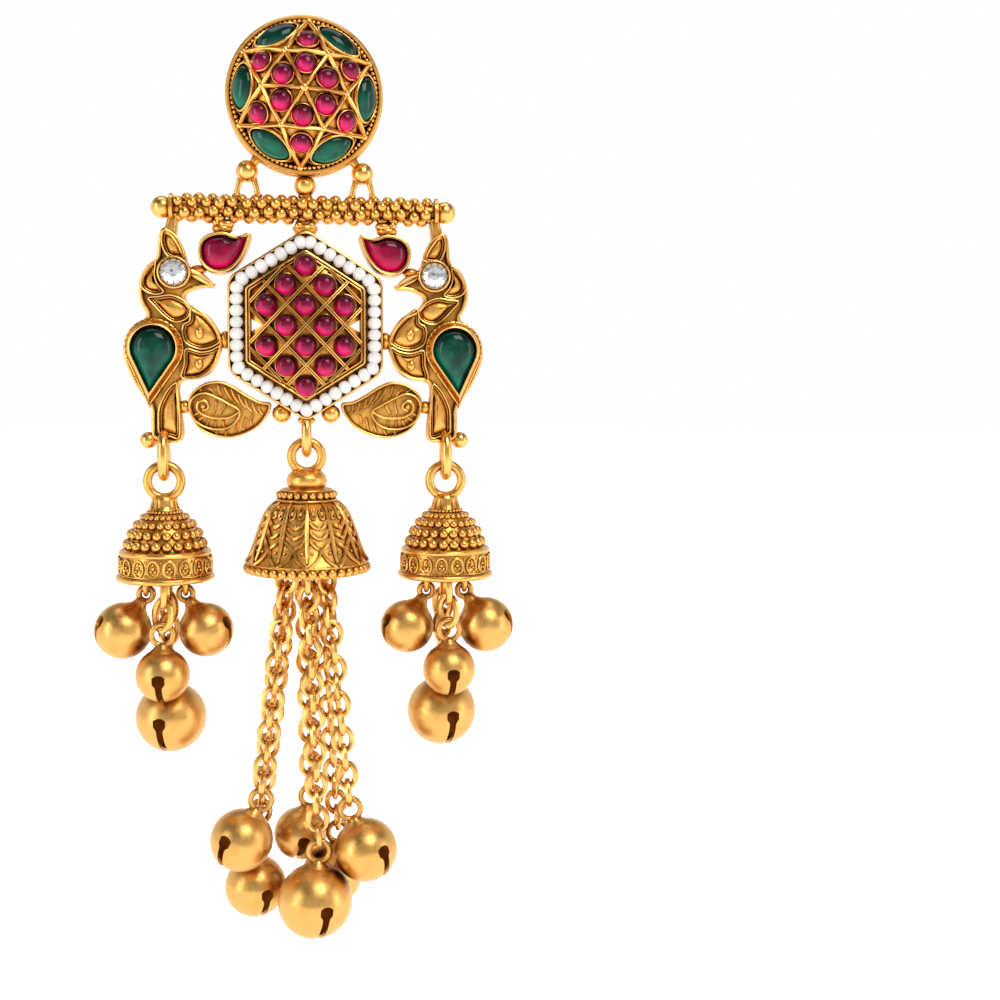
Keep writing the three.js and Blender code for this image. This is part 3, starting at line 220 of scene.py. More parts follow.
def smooth(points, steps=5, closed=False):
    """A smooth curve through points of any dimension."""
    points = [Vector(p) for p in points]
    count = len(points)
    curve = []
    for i in range(count if closed else count - 1):
        b = points[i]
        c = points[(i + 1) % count]
        a = points[i - 1] if i or closed else b * 2 - c
        d = points[(i + 2) % count] if i + 2 < count or closed else c * 2 - b
        for s in range(steps):
            t = s / steps
            curve.append(0.5 * (2 * b + (c - a) * t + (2 * a - 5 * b + 4 * c - d) * t ** 2
                                + (3 * b - a - 3 * c + d) * t ** 3))
    if not closed:
        curve.append(points[-1])
    return curve


def inset(outline, amount):
    """An outline moved inwards, its corners limited."""
    area = sum(outline[i - 1][0] * p[1] - p[0] * outline[i - 1][1] for i, p in enumerate(outline))
    inwards = amount if area > 0 else -amount
    moved = []
    for i, corner in enumerate(outline):
        p = Vector(corner)
        a = (p - Vector(outline[i - 1])).normalized()
        b = (Vector(outline[(i + 1) % len(outline)]) - p).normalized()
        along = (a + b).normalized() if (a + b).length > 1e-6 else a
        miter = min(1.8, 1 / max(0.3, along.dot(a)))
        moved.append(p + Vector((-along.y, along.x)) * inwards * miter)
    return moved


def shrunk(outline, share):
    """An outline scaled about its middle."""
    middle = sum((Vector(p) for p in outline), Vector((0, 0))) / len(outline)
    return [middle + (Vector(p) - middle) * share for p in outline]


def plate(form, outline, back, front, bevel=0.16):
    loft(form, [ring_at(inset(outline, bevel * 0.5), back), ring_at(outline, back - bevel * 0.5),
                ring_at(outline, front + bevel), ring_at(inset(outline, bevel * 0.3), front + bevel * 0.3),
                ring_at(inset(outline, bevel), front)])


def quarter(rings):
    """Widths and heights of a quarter of a circle, from its edge almost to its middle."""
    return [(math.cos(i / rings * math.pi / 2), math.sin(i / rings * math.pi / 2)) for i in range(rings)]


def pillow(form, outline, base, height, rings):
    """A cushion-shaped rise over an outline, towards the viewer."""
    loft(form, [ring_at(shrunk(outline, width), base - height * rise) for width, rise in quarter(rings)])


def lathe(form, profile, segments, place, shape=None, wrap=False):
    """A turned body about the Z axis of a matrix, from pairs of radius and height."""
    loft(form, [[place @ around(0, 0, height, radius + (shape(angle, radius) if shape else 0), angle)
                 for angle in turns(segments)] for radius, height in profile], wrap)


def circle(radius, sides):
    return [around(0, 0, 0, radius, angle).xy for angle in turns(sides)]


def teardrop(radius, length, arc=40):
    """A round end about the origin, drawn out to a point along +X."""
    tangent = math.acos(radius / length)
    tip = Vector((length, 0))
    round_end = [around(0, 0, 0, radius, tangent + (TAU - 2 * tangent) * i / (arc - 1)).xy
                 for i in range(arc)]
    start = [tip.lerp(round_end[0], k / 5) for k in range(5)]
    return start + round_end + [round_end[-1].lerp(tip, k / 5) for k in range(1, 5)]


def on_side(outline, side, x, z, turn=0.0):
    c, s = math.cos(turn), math.sin(turn)
    return [Vector((side * (x - (p[0] * c - p[1] * s)), z + p[0] * s + p[1] * c)) for p in outline]


def mirrored(points, side):
    return [Vector((side * p[0], p[1])) for p in points]


def curved(points, side):
    return smooth(mirrored(points, side), 5, True)


# Materials

def new_material(name, values):
    """A material whose shader has constant values, its shader and its coordinates."""
    material = bpy.data.materials.new(name)
    material.use_nodes = True
    nodes = material.node_tree.nodes
    shader = nodes["Principled BSDF"]
    for socket, value in values.items():
        shader.inputs[socket].default_value = value
    return material, shader, nodes.new("ShaderNodeTexCoord")


def join(source, target):
    source.id_data.links.new(source, target)


def ramp(source, stops):
    node = source.id_data.nodes.new("ShaderNodeValToRGB")
    elements = node.color_ramp.elements
    while len(elements) < len(stops):
        elements.new(0.5)
    for element, (position, colour) in zip(elements, stops):
        element.position = position
        element.color = (*colour, 1)
    join(source, node.inputs["Fac"])
    return node.outputs["Color"]


def noise(place, scale, detail):
    node = place.id_data.nodes.new("ShaderNodeTexNoise")
    node.inputs["Scale"].default_value = scale
    node.inputs["Detail"].default_value = detail
    join(place.outputs["Object"], node.inputs["Vector"])
    return node.outputs["Fac"]


def spread(source, low, high, start=0.3, end=0.7):
    node = source.id_data.nodes.new("ShaderNodeMapRange")
    for socket, value in zip(("From Min", "From Max", "To Min", "To Max"), (start, end, low, high)):
        node.inputs[socket].default_value = value
    join(source, node.inputs["Value"])
    return node.outputs["Result"]


def calculate(operation, a, b):
    node = a.id_data.nodes.new("ShaderNodeMath")
    node.operation = operation
    join(a, node.inputs[0])
    if isinstance(b, (int, float)):
        node.inputs[1].default_value = b
    else:
        join(b, node.inputs[1])
    return node.outputs[0]


def add_bump(height, shader, strength, distance):
    node = height.id_data.nodes.new("ShaderNodeBump")
    node.inputs["Strength"].default_value = strength
    node.inputs["Distance"].default_value = distance
    join(height, node.inputs["Height"])
    join(node.outputs["Normal"], shader.inputs["Normal"])


def gold(name, crest, body, recess, rough, reach, grain, dents):
    """Antique gold: bright on open surfaces, darkening through brown to near black in the recesses and
    between parts by ambient occlusion, which is partly patina and partly painted shade; finely hammered.
    """
    material, shader, place = new_material(name, {"Metallic": 1})
    # Painted shade and patina: ambient occlusion darkens the base colour in recesses and between parts.
    shade_and_patina_occlusion = place.id_data.nodes.new("ShaderNodeAmbientOcclusion")
    shade_and_patina_occlusion.inputs["Distance"].default_value = reach * MM
    shade_and_patina_occlusion.samples = 8
    patina = spread(noise(place, 700, 4), -0.13, 0.13)
    level = calculate("ADD", shade_and_patina_occlusion.outputs["AO"], patina)
    join(ramp(level, [(0.12, recess), (0.62, body), (0.98, crest)]), shader.inputs["Base Color"])
    worn = spread(noise(place, 2600, 5), rough - 0.06, rough + 0.1)
    join(worn, shader.inputs["Roughness"])
    hammered = calculate("MULTIPLY", noise(place, 1500, 2), dents)
    specks = calculate("MULTIPLY", noise(place, 9000, 3), grain)
    add_bump(calculate("ADD", hammered, specks), shader, 1, 0.00002)
    return material


def stone(name, dark, deep, bright, painted_glow, lift):
    """A cabochon over foil with painted light: darker where it faces up and right, lighter and painted
    glowing where it faces down and left, as if lit through from its foil; with clouds in it.
    """
    material, shader, place = new_material(name, {
        "Emission Strength": 0.28, "IOR": 1.76, "Specular IOR Level": 0.12, "Coat Weight": 0.14,
        "Coat Roughness": 0.03})
    split = place.id_data.nodes.new("ShaderNodeSeparateXYZ")
    join(place.outputs["Normal"], split.inputs[0])
    cloudy = spread(noise(place, 900, 3), -0.16, 0.16)
    # Painted light: the colour is lighter where the surface faces down and to the left, and the lightest
    # parts glow by emission.
    low = calculate("MULTIPLY", split.outputs["Z"], -0.48)
    left = calculate("MULTIPLY", split.outputs["X"], -0.12)
    level = calculate("ADD", calculate("ADD", calculate("ADD", low, left), cloudy), lift)
    join(ramp(level, [(0.08, dark), (0.42, deep), (0.78, bright)]), shader.inputs["Base Color"])
    join(ramp(level, [(0.4, (0, 0, 0)), (0.85, painted_glow)]), shader.inputs["Emission Color"])
    join(spread(noise(place, 3000, 3), 0.04, 0.12), shader.inputs["Roughness"])
    return material


def pearl_material(name):
    material, shader, place = new_material(name, {
        "Subsurface Weight": 0.05, "Subsurface Scale": 0.0004, "Coat Weight": 0.2, "Coat Roughness": 0.2})
    join(ramp(noise(place, 800, 4), [(0.3, (0.7, 0.69, 0.67)), (0.7, (0.83, 0.82, 0.8))]),
         shader.inputs["Base Color"])
    fine = noise(place, 4000, 4)
    join(spread(fine, 0.2, 0.4), shader.inputs["Roughness"])
    add_bump(fine, shader, 0.5, 0.00001)
    return material


def clear_material(name):
    """A cut clear stone on silver foil."""
    material, shader, place = new_material(name, {
        "Metallic": 0.75, "Coat Weight": 1, "Coat Roughness": 0.02})
    flecks = noise(place, 1600, 2)
    join(ramp(flecks, [(0.35, (0.5, 0.52, 0.55)), (0.5, (0.93, 0.94, 0.96)), (1, (1, 1, 1))]),
         shader.inputs["Base Color"])
    join(spread(flecks, 0.05, 0.16), shader.inputs["Roughness"])
    return material


# Crest, body and recess colours, roughness, reach of the recesses, grain and dents; the recess colour is
# patina and painted shade
GOLD = gold("antique_gold", (0.84, 0.455, 0.115), (0.66, 0.31, 0.06), (0.1, 0.03, 0.003),
            0.27, 0.8, 0.5, 0.5)
POLISHED = gold("polished_gold", (0.88, 0.5, 0.14), (0.7, 0.34, 0.075), (0.15, 0.047, 0.006),
                0.24, 0.6, 0.2, 0.45)
SATIN = gold("satin_gold", (0.74, 0.41, 0.115), (0.54, 0.26, 0.055), (0.1, 0.032, 0.005),
             0.33, 1.6, 0.5, 0.5)
CHASED = gold("chased_gold", (0.84, 0.45, 0.11), (0.6, 0.27, 0.048), (0.06, 0.017, 0.002),
              0.32, 0.5, 0.8, 0.9)
# Dark, deep and bright colours, painted glow and brightness; the painted light runs from dark at the top to
# bright and glowing at the bottom
RUBY = stone("ruby_glass", (0.05, 0.0, 0.01), (0.2, 0.0, 0.03), (0.6, 0.006, 0.12), (0.85, 0.008, 0.14), 0.38)
DEEP_RUBY = stone("deep_ruby_glass", (0.06, 0, 0.01), (0.24, 0, 0.03), (0.5, 0.0, 0.06),
                  (0.45, 0.0, 0.045), 0.38)
EMERALD = stone("emerald_glass", (0.0, 0.01, 0.006), (0.0, 0.045, 0.026), (0.0, 0.13, 0.075),
                (0.0, 0.1, 0.055), 0.41)
# A grey stone material for the painted facet shade on the clear stones
SHADOW = stone("facet_shadow", (0.07, 0.075, 0.08), (0.12, 0.125, 0.13), (0.2, 0.21, 0.22), (0, 0, 0), 0.4)
PEARL = pearl_material("seed_pearl")
CLEAR = clear_material("cut_clear_stone")


# Stud: a cup with a domed ground, under a lattice on a larger sphere

STUD_FRONT_Y = -3.7
STUD_RADIUS = 6.9
STUD_Z = -0.45
TIP_RADIUS = 6.4
STAR_RISE = 3.55
STAR_TURN = math.radians(-3.7)
LATTICE_SPHERE = (TIP_RADIUS ** 2 + STAR_RISE ** 2) / (2 * STAR_RISE)
GROUND_SPHERE = LATTICE_SPHERE - 0.55
SPHERE_CENTRE = Vector((0, STUD_FRONT_Y - STAR_RISE + LATTICE_SPHERE, STUD_Z))
INNER_RADIUS = TIP_RADIUS / math.sqrt(3)
HEXAGON_MIDDLE = INNER_RADIUS * math.cos(SIXTH / 2)
# Middles of the star's inner and outer triangles, and of the fields between its tips
RUBY_DISTANCES = (2 * HEXAGON_MIDDLE / 3, HEXAGON_MIDDLE + (TIP_RADIUS - HEXAGON_MIDDLE) / 3)
EMERALD_DISTANCE = 5.12
STONE_LIFT = 0.06
TO_FRONT = Matrix.Rotation(math.radians(90), 4, "X")
TO_BACK = Matrix.Rotation(math.radians(-90), 4, "X")

# Radius, and height towards the viewer
CUP_PROFILE = [(0.01, 1.05), (6.5, 1.05), (6.76, 1.1), (6.88, 1.22), (6.9, 1.36), (6.86, 1.48), (6.76, 1.54),
               (6.74, 1.6), (6.74, 3.2), (6.78, 3.27), (6.88, 3.35), (6.9, 3.5), (6.86, 3.64), (6.74, 3.74),
               (6.58, 3.74), (6.48, 3.66), (6.44, 3.52), (6.2, 3.4)]
DISC_PROFILE = [(0.01, -1.3), (3.2, -1.3), (3.2, -0.72), (3.45, -0.72), (3.62, -0.66), (3.69, -0.5),
                (3.69, -0.22), (3.62, -0.06), (3.45, 0.0), (1.2, 0.0), (0.95, -0.02), (0.79, 0.1),
                (0.785, 2.7), (0.7, 2.8), (0.01, 2.8)]


def dome_normal(distance, angle, ball):
    lean = math.asin(distance / ball)
    return Vector((math.sin(lean) * math.cos(angle), -math.cos(lean), math.sin(lean) * math.sin(angle)))


def star_angle(index):
    return math.pi / 2 + STAR_TURN + index * SIXTH


def dome_matrix(distance, angle, lift=0.0):
    normal = dome_normal(distance, angle, GROUND_SPHERE)
    round_way = Vector((-math.sin(angle), 0, math.cos(angle)))
    third = normal.cross(round_way)
    place = SPHERE_CENTRE + normal * (GROUND_SPHERE + lift)
    return Matrix.Translation(place) @ Matrix((round_way, third, normal)).transposed().to_4x4()


def stud_cup(form):
    edge_lean = math.asin(CUP_PROFILE[-1][0] / GROUND_SPHERE)
    leans = [edge_lean * (1 - i / 9) for i in range(9)]
    ground = [(GROUND_SPHERE * math.sin(lean), GROUND_SPHERE * math.cos(lean) - SPHERE_CENTRE.y)
              for lean in leans]
    ground.append((0.01, GROUND_SPHERE - SPHERE_CENTRE.y))
    lathe(form, CUP_PROFILE + ground, 96, Matrix.Translation((0, 0, STUD_Z)) @ TO_FRONT)
    for angle in turns(96):
        sphere(form, facing(0, -3.66, STUD_Z, 6.3, angle), 0.2, 8, 6)


def band_scrolls(form):
    """Scrolls round the stud's edge, worn flat, with dots between them."""
    band_y = -2.4
    count = 22
    for i, middle in enumerate(turns(count)):
        flip = 1 if i % 2 else -1
        path = []
        for k in range(15):
            turn = math.pi * 2.1 * k / 14
            size = 0.55 * (1 - 0.62 * k / 14)
            along = size * math.cos(turn) * flip - 0.1 * flip
            deep = size * math.sin(turn) * flip
            path.append(facing(0, band_y + deep, STUD_Z, 6.76, middle + along / STUD_RADIUS))
        tube(form, path, [0.13 - 0.05 * k / 14 for k in range(15)], 6)
        for deep in (-0.54, 0.54):
            sphere(form, facing(0, band_y + deep, STUD_Z, 6.74, middle + TAU / count / 2), 0.14, 8, 6)


def star_lattice(form):
    section = [(-0.23, -0.1), (-0.23, 0.2), (-0.17, 0.36), (-0.06, 0.47), (0.06, 0.47), (0.17, 0.36),
               (0.23, 0.2), (0.23, -0.1)]
    centre = dome_normal(0, 0, LATTICE_SPHERE)
    sphere(form, SPHERE_CENTRE + centre * (LATTICE_SPHERE - 0.12), 0.42, 14, 8)
    for i in range(6):
        tip = dome_normal(TIP_RADIUS, star_angle(i), LATTICE_SPHERE)
        before = dome_normal(INNER_RADIUS, star_angle(i - 0.5), LATTICE_SPHERE)
        after = dome_normal(INNER_RADIUS, star_angle(i + 0.5), LATTICE_SPHERE)
        for a, b in ((tip, before), (tip, after), (before, after), (centre, after)):
            ups = [a.lerp(b, k / 8).normalized() for k in range(9)]
            sweep(form, [SPHERE_CENTRE + up * (LATTICE_SPHERE - 0.42) for up in ups], ups, section)
        for node in (tip, after):
            sphere(form, SPHERE_CENTRE + node * (LATTICE_SPHERE - 0.12), 0.33, 14, 8)


def dome_wire(form, outline, matrix, width, height, lift=0.0):
    """An upright wire on the dome along an outline drawn in the plane of a matrix."""
    up = (matrix.to_3x3() @ Vector((0, 0, 1))).normalized()
    path = [matrix @ Vector((p[0], p[1], lift)) for p in outline]
    half = width / 2
    section = [(-half, -0.2), (-half, height - half), (-half * 0.6, height - half * 0.3), (0, height),
               (half * 0.6, height - half * 0.3), (half, height - half), (half, -0.2)]
    sweep(form, path, [up] * len(path), section, True)


def oval_almond(length, width):
    """An oval whose two ends are a little drawn out."""
    return [(length / 2 * math.cos(angle), width / 2 * math.sin(angle) * (1 - 0.16 * math.cos(angle) ** 2))
            for angle in turns(28)]


def cabochon_points(outline, height, sink=0.0):
    """A domed stone over an outline, on an upright edge that is sunk below it."""
    edge = [[Vector((p[0], p[1], -sink)) for p in outline]] if sink else []
    return edge + [[Vector((p.x, p.y, height * rise)) for p in shrunk(outline, width ** 0.9)]
                   for width, rise in quarter(7)]


def dome_stone(name, outline, height, material, matrix, node):
    rings = [[matrix @ p for p in ring] for ring in cabochon_points(outline, height)]
    make(name, lofted(rings), material, [node])


def build_stud():
    ruby_places = [(distance, star_angle(i)) for distance in RUBY_DISTANCES for i in range(6)]
    emerald_places = [(EMERALD_DISTANCE, star_angle(i + 0.5)) for i in range(6)]
    cup = Form()
    stud_cup(cup)
    band_scrolls(cup)
    make("stud_cup", cup, CHASED, ["gold_frame"])
    star = Form()
    star_lattice(star)
    for place in ruby_places:
        dome_wire(star, circle(0.97, 24), dome_matrix(*place), 0.15, 0.34)
    for place in emerald_places:
        dome_wire(star, oval_almond(4.1, 2.65), dome_matrix(*place), 0.2, 0.5)
        dome_wire(star, oval_almond(4.7, 3.1), dome_matrix(*place), 0.12, 0.26, -0.1)
    make("stud_star", star, POLISHED)
    for i, place in enumerate(ruby_places, 1):
        dome_stone(f"ruby_cabochon_{i:02d}", circle(0.89, 24), 0.86, RUBY, dome_matrix(*place, STONE_LIFT),
                   f"stud_ruby_{i:02d}")
    for i, place in enumerate(emerald_places, 1):
        dome_stone(f"emerald_almond_{i}", oval_almond(3.85, 2.42), 0.95, EMERALD,
                   dome_matrix(*place, STONE_LIFT), f"stud_emerald_{i}")
    post = Form()
    lathe(post, DISC_PROFILE, 64, TO_BACK)
    thread(post)
    make("ear_post_thread", post, GOLD)


def thread(form):
    """The post's thread: a ridge that winds round it."""
    pitch = 0.6
    rows = 120
    start, end = 2.7, 13.1
    rings = []
    for k in range(rows + 1):
        y = start + (end - start) * k / rows
        fade = min(1, (y - start) / 0.4, (end - y) / 0.3 + 0.35)
        rings.append([facing(0, y, 0, 0.63 + 0.155 * fade * (0.5 + 0.5 * math.cos(TAU * y / pitch - angle)),
                             angle)
                      for angle in turns(24)])
    rings.append([Vector((p.x * 0.82, 13.35, p.z * 0.82)) for p in rings[-1]])
    rings.append([Vector((p.x * 0.55, 13.5, p.z * 0.55)) for p in rings[-2]])
    loft(form, rings)


# Balls, legs and granulated bar

BAR_Z = -10.3
BAR_Y = -2.4
BAR_RADIUS = 1.3
BAR_HALF = 11.8
BALL_RADIUS = 0.98
BALL_Y = -2.3


def build_bar():
    form = Form()
    balls = Form()
    stud_bottom = STUD_Z - STUD_RADIUS
    bar_top = BAR_Z + BAR_RADIUS
    sphere(balls, (0, BALL_Y, (stud_bottom + bar_top) / 2), BALL_RADIUS, 28, 18)
    sphere(form, (0, BALL_Y, stud_bottom + 0.05), 0.45, 12, 8, (1.3, 1, 0.6))
    sphere(form, (0, BALL_Y, bar_top - 0.1), 0.5, 12, 8, (1.3, 1, 0.6))
    for side, word in SIDES:
        place = Vector((side * 5.1, BALL_Y, -7.0))
        sphere(balls, place, BALL_RADIUS, 28, 18)
        towards = (Vector((0, BALL_Y, STUD_Z)) - place).normalized()
        tube(form, [place + towards * 0.7, place + towards * 1.5], [0.3, 0.5], 12)
        for leg in (-1, 1):
            top = place + Vector((leg * 0.55, 0, -0.55))
            foot = Vector((place.x + leg * 0.95, BALL_Y, bar_top - 0.35))
            tube(form, [top, top.lerp(foot, 0.5) + Vector((leg * 0.08, 0, 0)), foot], [0.3, 0.24, 0.3], 10)
            sphere(form, foot + Vector((0, 0, 0.25)), 0.34, 10, 7, (1.2, 1, 0.7))
        sphere(balls, (side * (BAR_HALF + 0.73), BAR_Y, BAR_Z), BALL_RADIUS, 28, 18)
    tube(form, [Vector((-BAR_HALF, BAR_Y, BAR_Z)), Vector((BAR_HALF, BAR_Y, BAR_Z))], 0.66, 16)
    pick = random.Random(11)
    columns = 19

    def granule(x, reach, angle, size, segments, rings):
        sphere(form, (x, BAR_Y + reach * math.cos(angle), BAR_Z + reach * math.sin(angle)), size,
               segments, rings)

    for column in range(columns):
        for k in range(6):
            x = -BAR_HALF + 0.8 + (column + 0.5 * (k % 2)) * (2 * BAR_HALF - 1.7) / (columns - 0.5)
            x += pick.uniform(-0.16, 0.16)
            angle = TAU * (k + 0.5) / 6 + pick.uniform(-0.16, 0.16)
            size = pick.uniform(0.46, 0.58)
            granule(x, 1.32 - size + pick.uniform(-0.05, 0.05), angle, size, 12, 8)
            granule(x + 0.3, 0.86, angle + TAU / 12, pick.uniform(0.14, 0.24), 6, 5)
    for side, word in SIDES:
        end = Matrix.Translation((side * (BAR_HALF - 0.08), BAR_Y, BAR_Z))
        lathe(form, [(0.01, -0.22), (1.1, -0.22), (1.26, -0.12), (1.26, 0.12), (1.1, 0.22), (0.01, 0.22)], 24,
              end @ Matrix.Rotation(math.radians(90), 4, "Y"))
        strap = mirrored([(11.25, -11.0), (11.8, -11.0), (12.25, -12.5), (11.45, -12.95)], side)
        rail(form, strap[::-1], 0.3, -1.8, -3.0)
        plate(form, strap, -1.75, -2.9, 0.1)
    make("granulated_bar", form, GOLD)
    make("frame_balls", balls, POLISHED)


# Peacocks: an outline as shares of width outwards from the breast and of height upwards

INNER_X = 7.39
PEACOCK_WIDTH = 8.61
BOTTOM_Z = -30.9
PEACOCK_HEIGHT = 18.77
BACK_Y = -1.7
FIELD_Y = -2.62
CELL_FRONT_Y = -3.2
COLLET_FRONT_Y = -4.0
COLLET_FLOOR_Y = -3.25
JOINT_Y = -2.45
EYE = (11.5, -16.05)

PEACOCK_OUTLINE = [
    (0.55, 1), (0.43, 0.937), (0.36, 0.869), (0.31, 0.798), (0.07, 0.732), (0.24, 0.72), (0.37, 0.687),
    (0.31, 0.633), (0.14, 0.591), (0.02, 0.508), (0, 0.449), (0.09, 0.339), (0.24, 0.294), (0.43, 0.273),
    (0.43, 0.16), (0.42, 0.002), (0.7, 0.006), (0.73, 0.083), (0.74, 0.163), (0.89, 0.27), (1, 0.398),
    (0.97, 0.481), (0.85, 0.548), (0.76, 0.591), (0.81, 0.639), (0.84, 0.697), (0.82, 0.765), (0.75, 0.822),
    (0.66, 0.855), (0.64, 0.922), (0.62, 0.98),
]

# Wires that bound the peacock's cells, outwards and up, in millimetres
CREST = [(12.29, -12.32), (12.55, -13.07), (12.42, -13.9), (12.0, -14.62), (11.3, -14.75), (10.6, -14.6),
         (10.87, -13.59), (11.47, -12.7)]
NECK = [(13.1, -15.1), (13.75, -15.6), (14.3, -16.45), (14.35, -17.25), (13.9, -17.75), (13.1, -17.95),
        (12.45, -17.7), (12.95, -17.05), (13.2, -16.2)]
WING = [(13.75, -18.3), (13.1, -19.1), (12.4, -19.85), (11.75, -20.3), (11.05, -20.3), (10.4, -19.95),
        (10.12, -19.35), (10.3, -18.85), (11.0, -18.3), (11.9, -18.0), (12.9, -18.15)]
BREAST = [(10.0, -19.0), (8.9, -19.75), (8.0, -20.75), (7.65, -21.5), (7.62, -22.05), (8.4, -22.55),
          (9.4, -22.7), (10.5, -22.25), (10.85, -21.5), (10.75, -20.6), (10.2, -20.2)]
BELLY = [(7.62, -22.5), (7.75, -23.5), (8.4, -24.55), (9.4, -25.25), (10.6, -25.4), (11.0, -25.1),
         (10.72, -24.0), (10.6, -22.75), (9.4, -23.0), (8.4, -22.85)]
TAIL = [(11.75, -25.9), (12.35, -26.6), (12.95, -27.9), (13.05, -29.2), (12.95, -30.2), (12.1, -30.5),
        (11.3, -30.6), (11.2, -29.2), (11.25, -27.4), (11.4, -25.9)]
RUBY_RIM = [(7.74, -12.6), (6.99, -12.6), (6.4, -12.82), (5.72, -12.9), (4.95, -12.66), (5.13, -13.5),
            (5.45, -14.31), (5.95, -15.08), (6.57, -15.66), (7.51, -15.95), (8.42, -15.75), (9.05, -15.08),
            (9.25, -14.22), (9.1, -13.41), (8.55, -12.87)]

BEAK = [(10.1, -15.85), (9.3, -16.15), (8.6, -16.6), (8.05, -17.15)]


def tail_outline(side, grow):
    return on_side(teardrop(1.86 + grow, 3.79 + 2 * grow), side, 13.36, -22.65, math.radians(-95.5))


def collet(form, outer, mid, seat, back):
    """A dish that holds a stone: a flared wall with a rounded lip and a floor inside."""
    lip_y = COLLET_FRONT_Y + 0.12
    loft(form, [ring_at(outer, back), ring_at(outer, back - 0.7), ring_at(mid, lip_y),
                ring_at(inset(mid, 0.05), COLLET_FRONT_Y + 0.03), ring_at(inset(mid, 0.12), COLLET_FRONT_Y),
                ring_at(inset(seat, -0.04), COLLET_FRONT_Y + 0.04), ring_at(seat, lip_y),
                ring_at(seat, COLLET_FLOOR_Y)])


def build_peacock(side, word):
    outline = smooth([(side * (INNER_X + PEACOCK_WIDTH * out), BOTTOM_Z + PEACOCK_HEIGHT * up)
                      for out, up in PEACOCK_OUTLINE], 4, True)
    form = Form()
    plate(form, outline, BACK_Y, FIELD_Y, 0.14)
    rail(form, inset(outline, 0.17), 0.34, FIELD_Y + 0.3, CELL_FRONT_Y + 0.1)
    wires = Form()
    fields = Form()
    for cell in (CREST, NECK, WING, BREAST, BELLY, TAIL):
        path = curved(cell, side)
        rail(wires, path, 0.17, FIELD_Y + 0.1, CELL_FRONT_Y - 0.02)
        rail(wires, inset(path, 0.2), 0.08, FIELD_Y + 0.1, FIELD_Y - 0.3)
        pillow(fields, inset(path, 0.3), FIELD_Y, 0.34, 5)
    beak = smooth(mirrored(BEAK, side), 5)
    tube(wires, ring_at(beak, -3.05), [0.24 - 0.15 * i / (len(beak) - 1) for i in range(len(beak))], 8)
    # Drops on the breast and the belly, the corner ball, and the ruby's balls
    for x, y, z, size, segments, rings, scale in (
            (9.38, -2.98, -21.35, 0.5, 12, 8, (0.8, 0.7, 1.15)),
            (9.45, -2.95, -24.1, 0.46, 12, 8, (0.85, 0.7, 1.05)),
            (9.25, -3.3, -21.2, 0.2, 8, 6, (1, 1, 1)), (9.3, -3.2, -24.2, 0.18, 8, 6, (1, 1, 1)),
            (14.0, JOINT_Y, BOTTOM_Z, 0.76, 24, 14, (1, 1, 1)),
            (6.95, -2.6, -11.7, 0.62, 14, 9, (1.2, 0.9, 0.75)), (7.8, -2.5, -11.55, 0.42, 12, 8, (1, 1, 1))):
        sphere(wires, (side * x, y, z), size, segments, rings, scale)
    eye = on_side(circle(1, 32), side, *EYE)
    collet(wires, shrunk(eye, 1.5), shrunk(eye, 1.46), shrunk(eye, 1.24), BACK_Y - 0.2)
    # Tail collet, with a notched wire round its foot
    collet(form, tail_outline(side, 0.78), tail_outline(side, 0.34), tail_outline(side, 0.07), BACK_Y - 0.2)
    foot = tail_outline(side, 0.62)
    tube(wires, ring_at(foot, -3.1), 0.13, 8, True)
    for notch in ring_at(foot, -3.16)[::2]:
        sphere(wires, notch, 0.15, 6, 5)
    rim = curved(RUBY_RIM, side)
    collet(form, inset(rim, -0.2), inset(rim, -0.12), inset(rim, 0.2), BACK_Y)
    for outline in (tail_outline(side, 0.2), rim):
        rail(wires, outline, 0.2, -3.8, -4.1)
    # Solder joints to the bar, the hexagon and the paisley, and at the beak
    for x, z, width, height in ((7.3, -12.1, 0.95, 0.5), (7.15, -21.9, 0.5, 0.8), (10.75, -27.9, 0.6, 0.6),
                                (9.45, -15.75, 0.75, 0.45)):
        sphere(form, (side * x, JOINT_Y, z), 1, 14, 9, (width, 0.7, height))
    make(f"{word}_peacock", form, GOLD)
    make(f"{word}_peacock_wires", wires, POLISHED)
    make(f"{word}_peacock_fields", fields, CHASED)
    build_side_stones(side, word, rim)


def faceted(outline, base, height, steps):
    """A cut stone: straight facets up from the girdle to a table."""
    return lofted([ring_at(shrunk(outline, width), base - height * rise) for width, rise in steps])


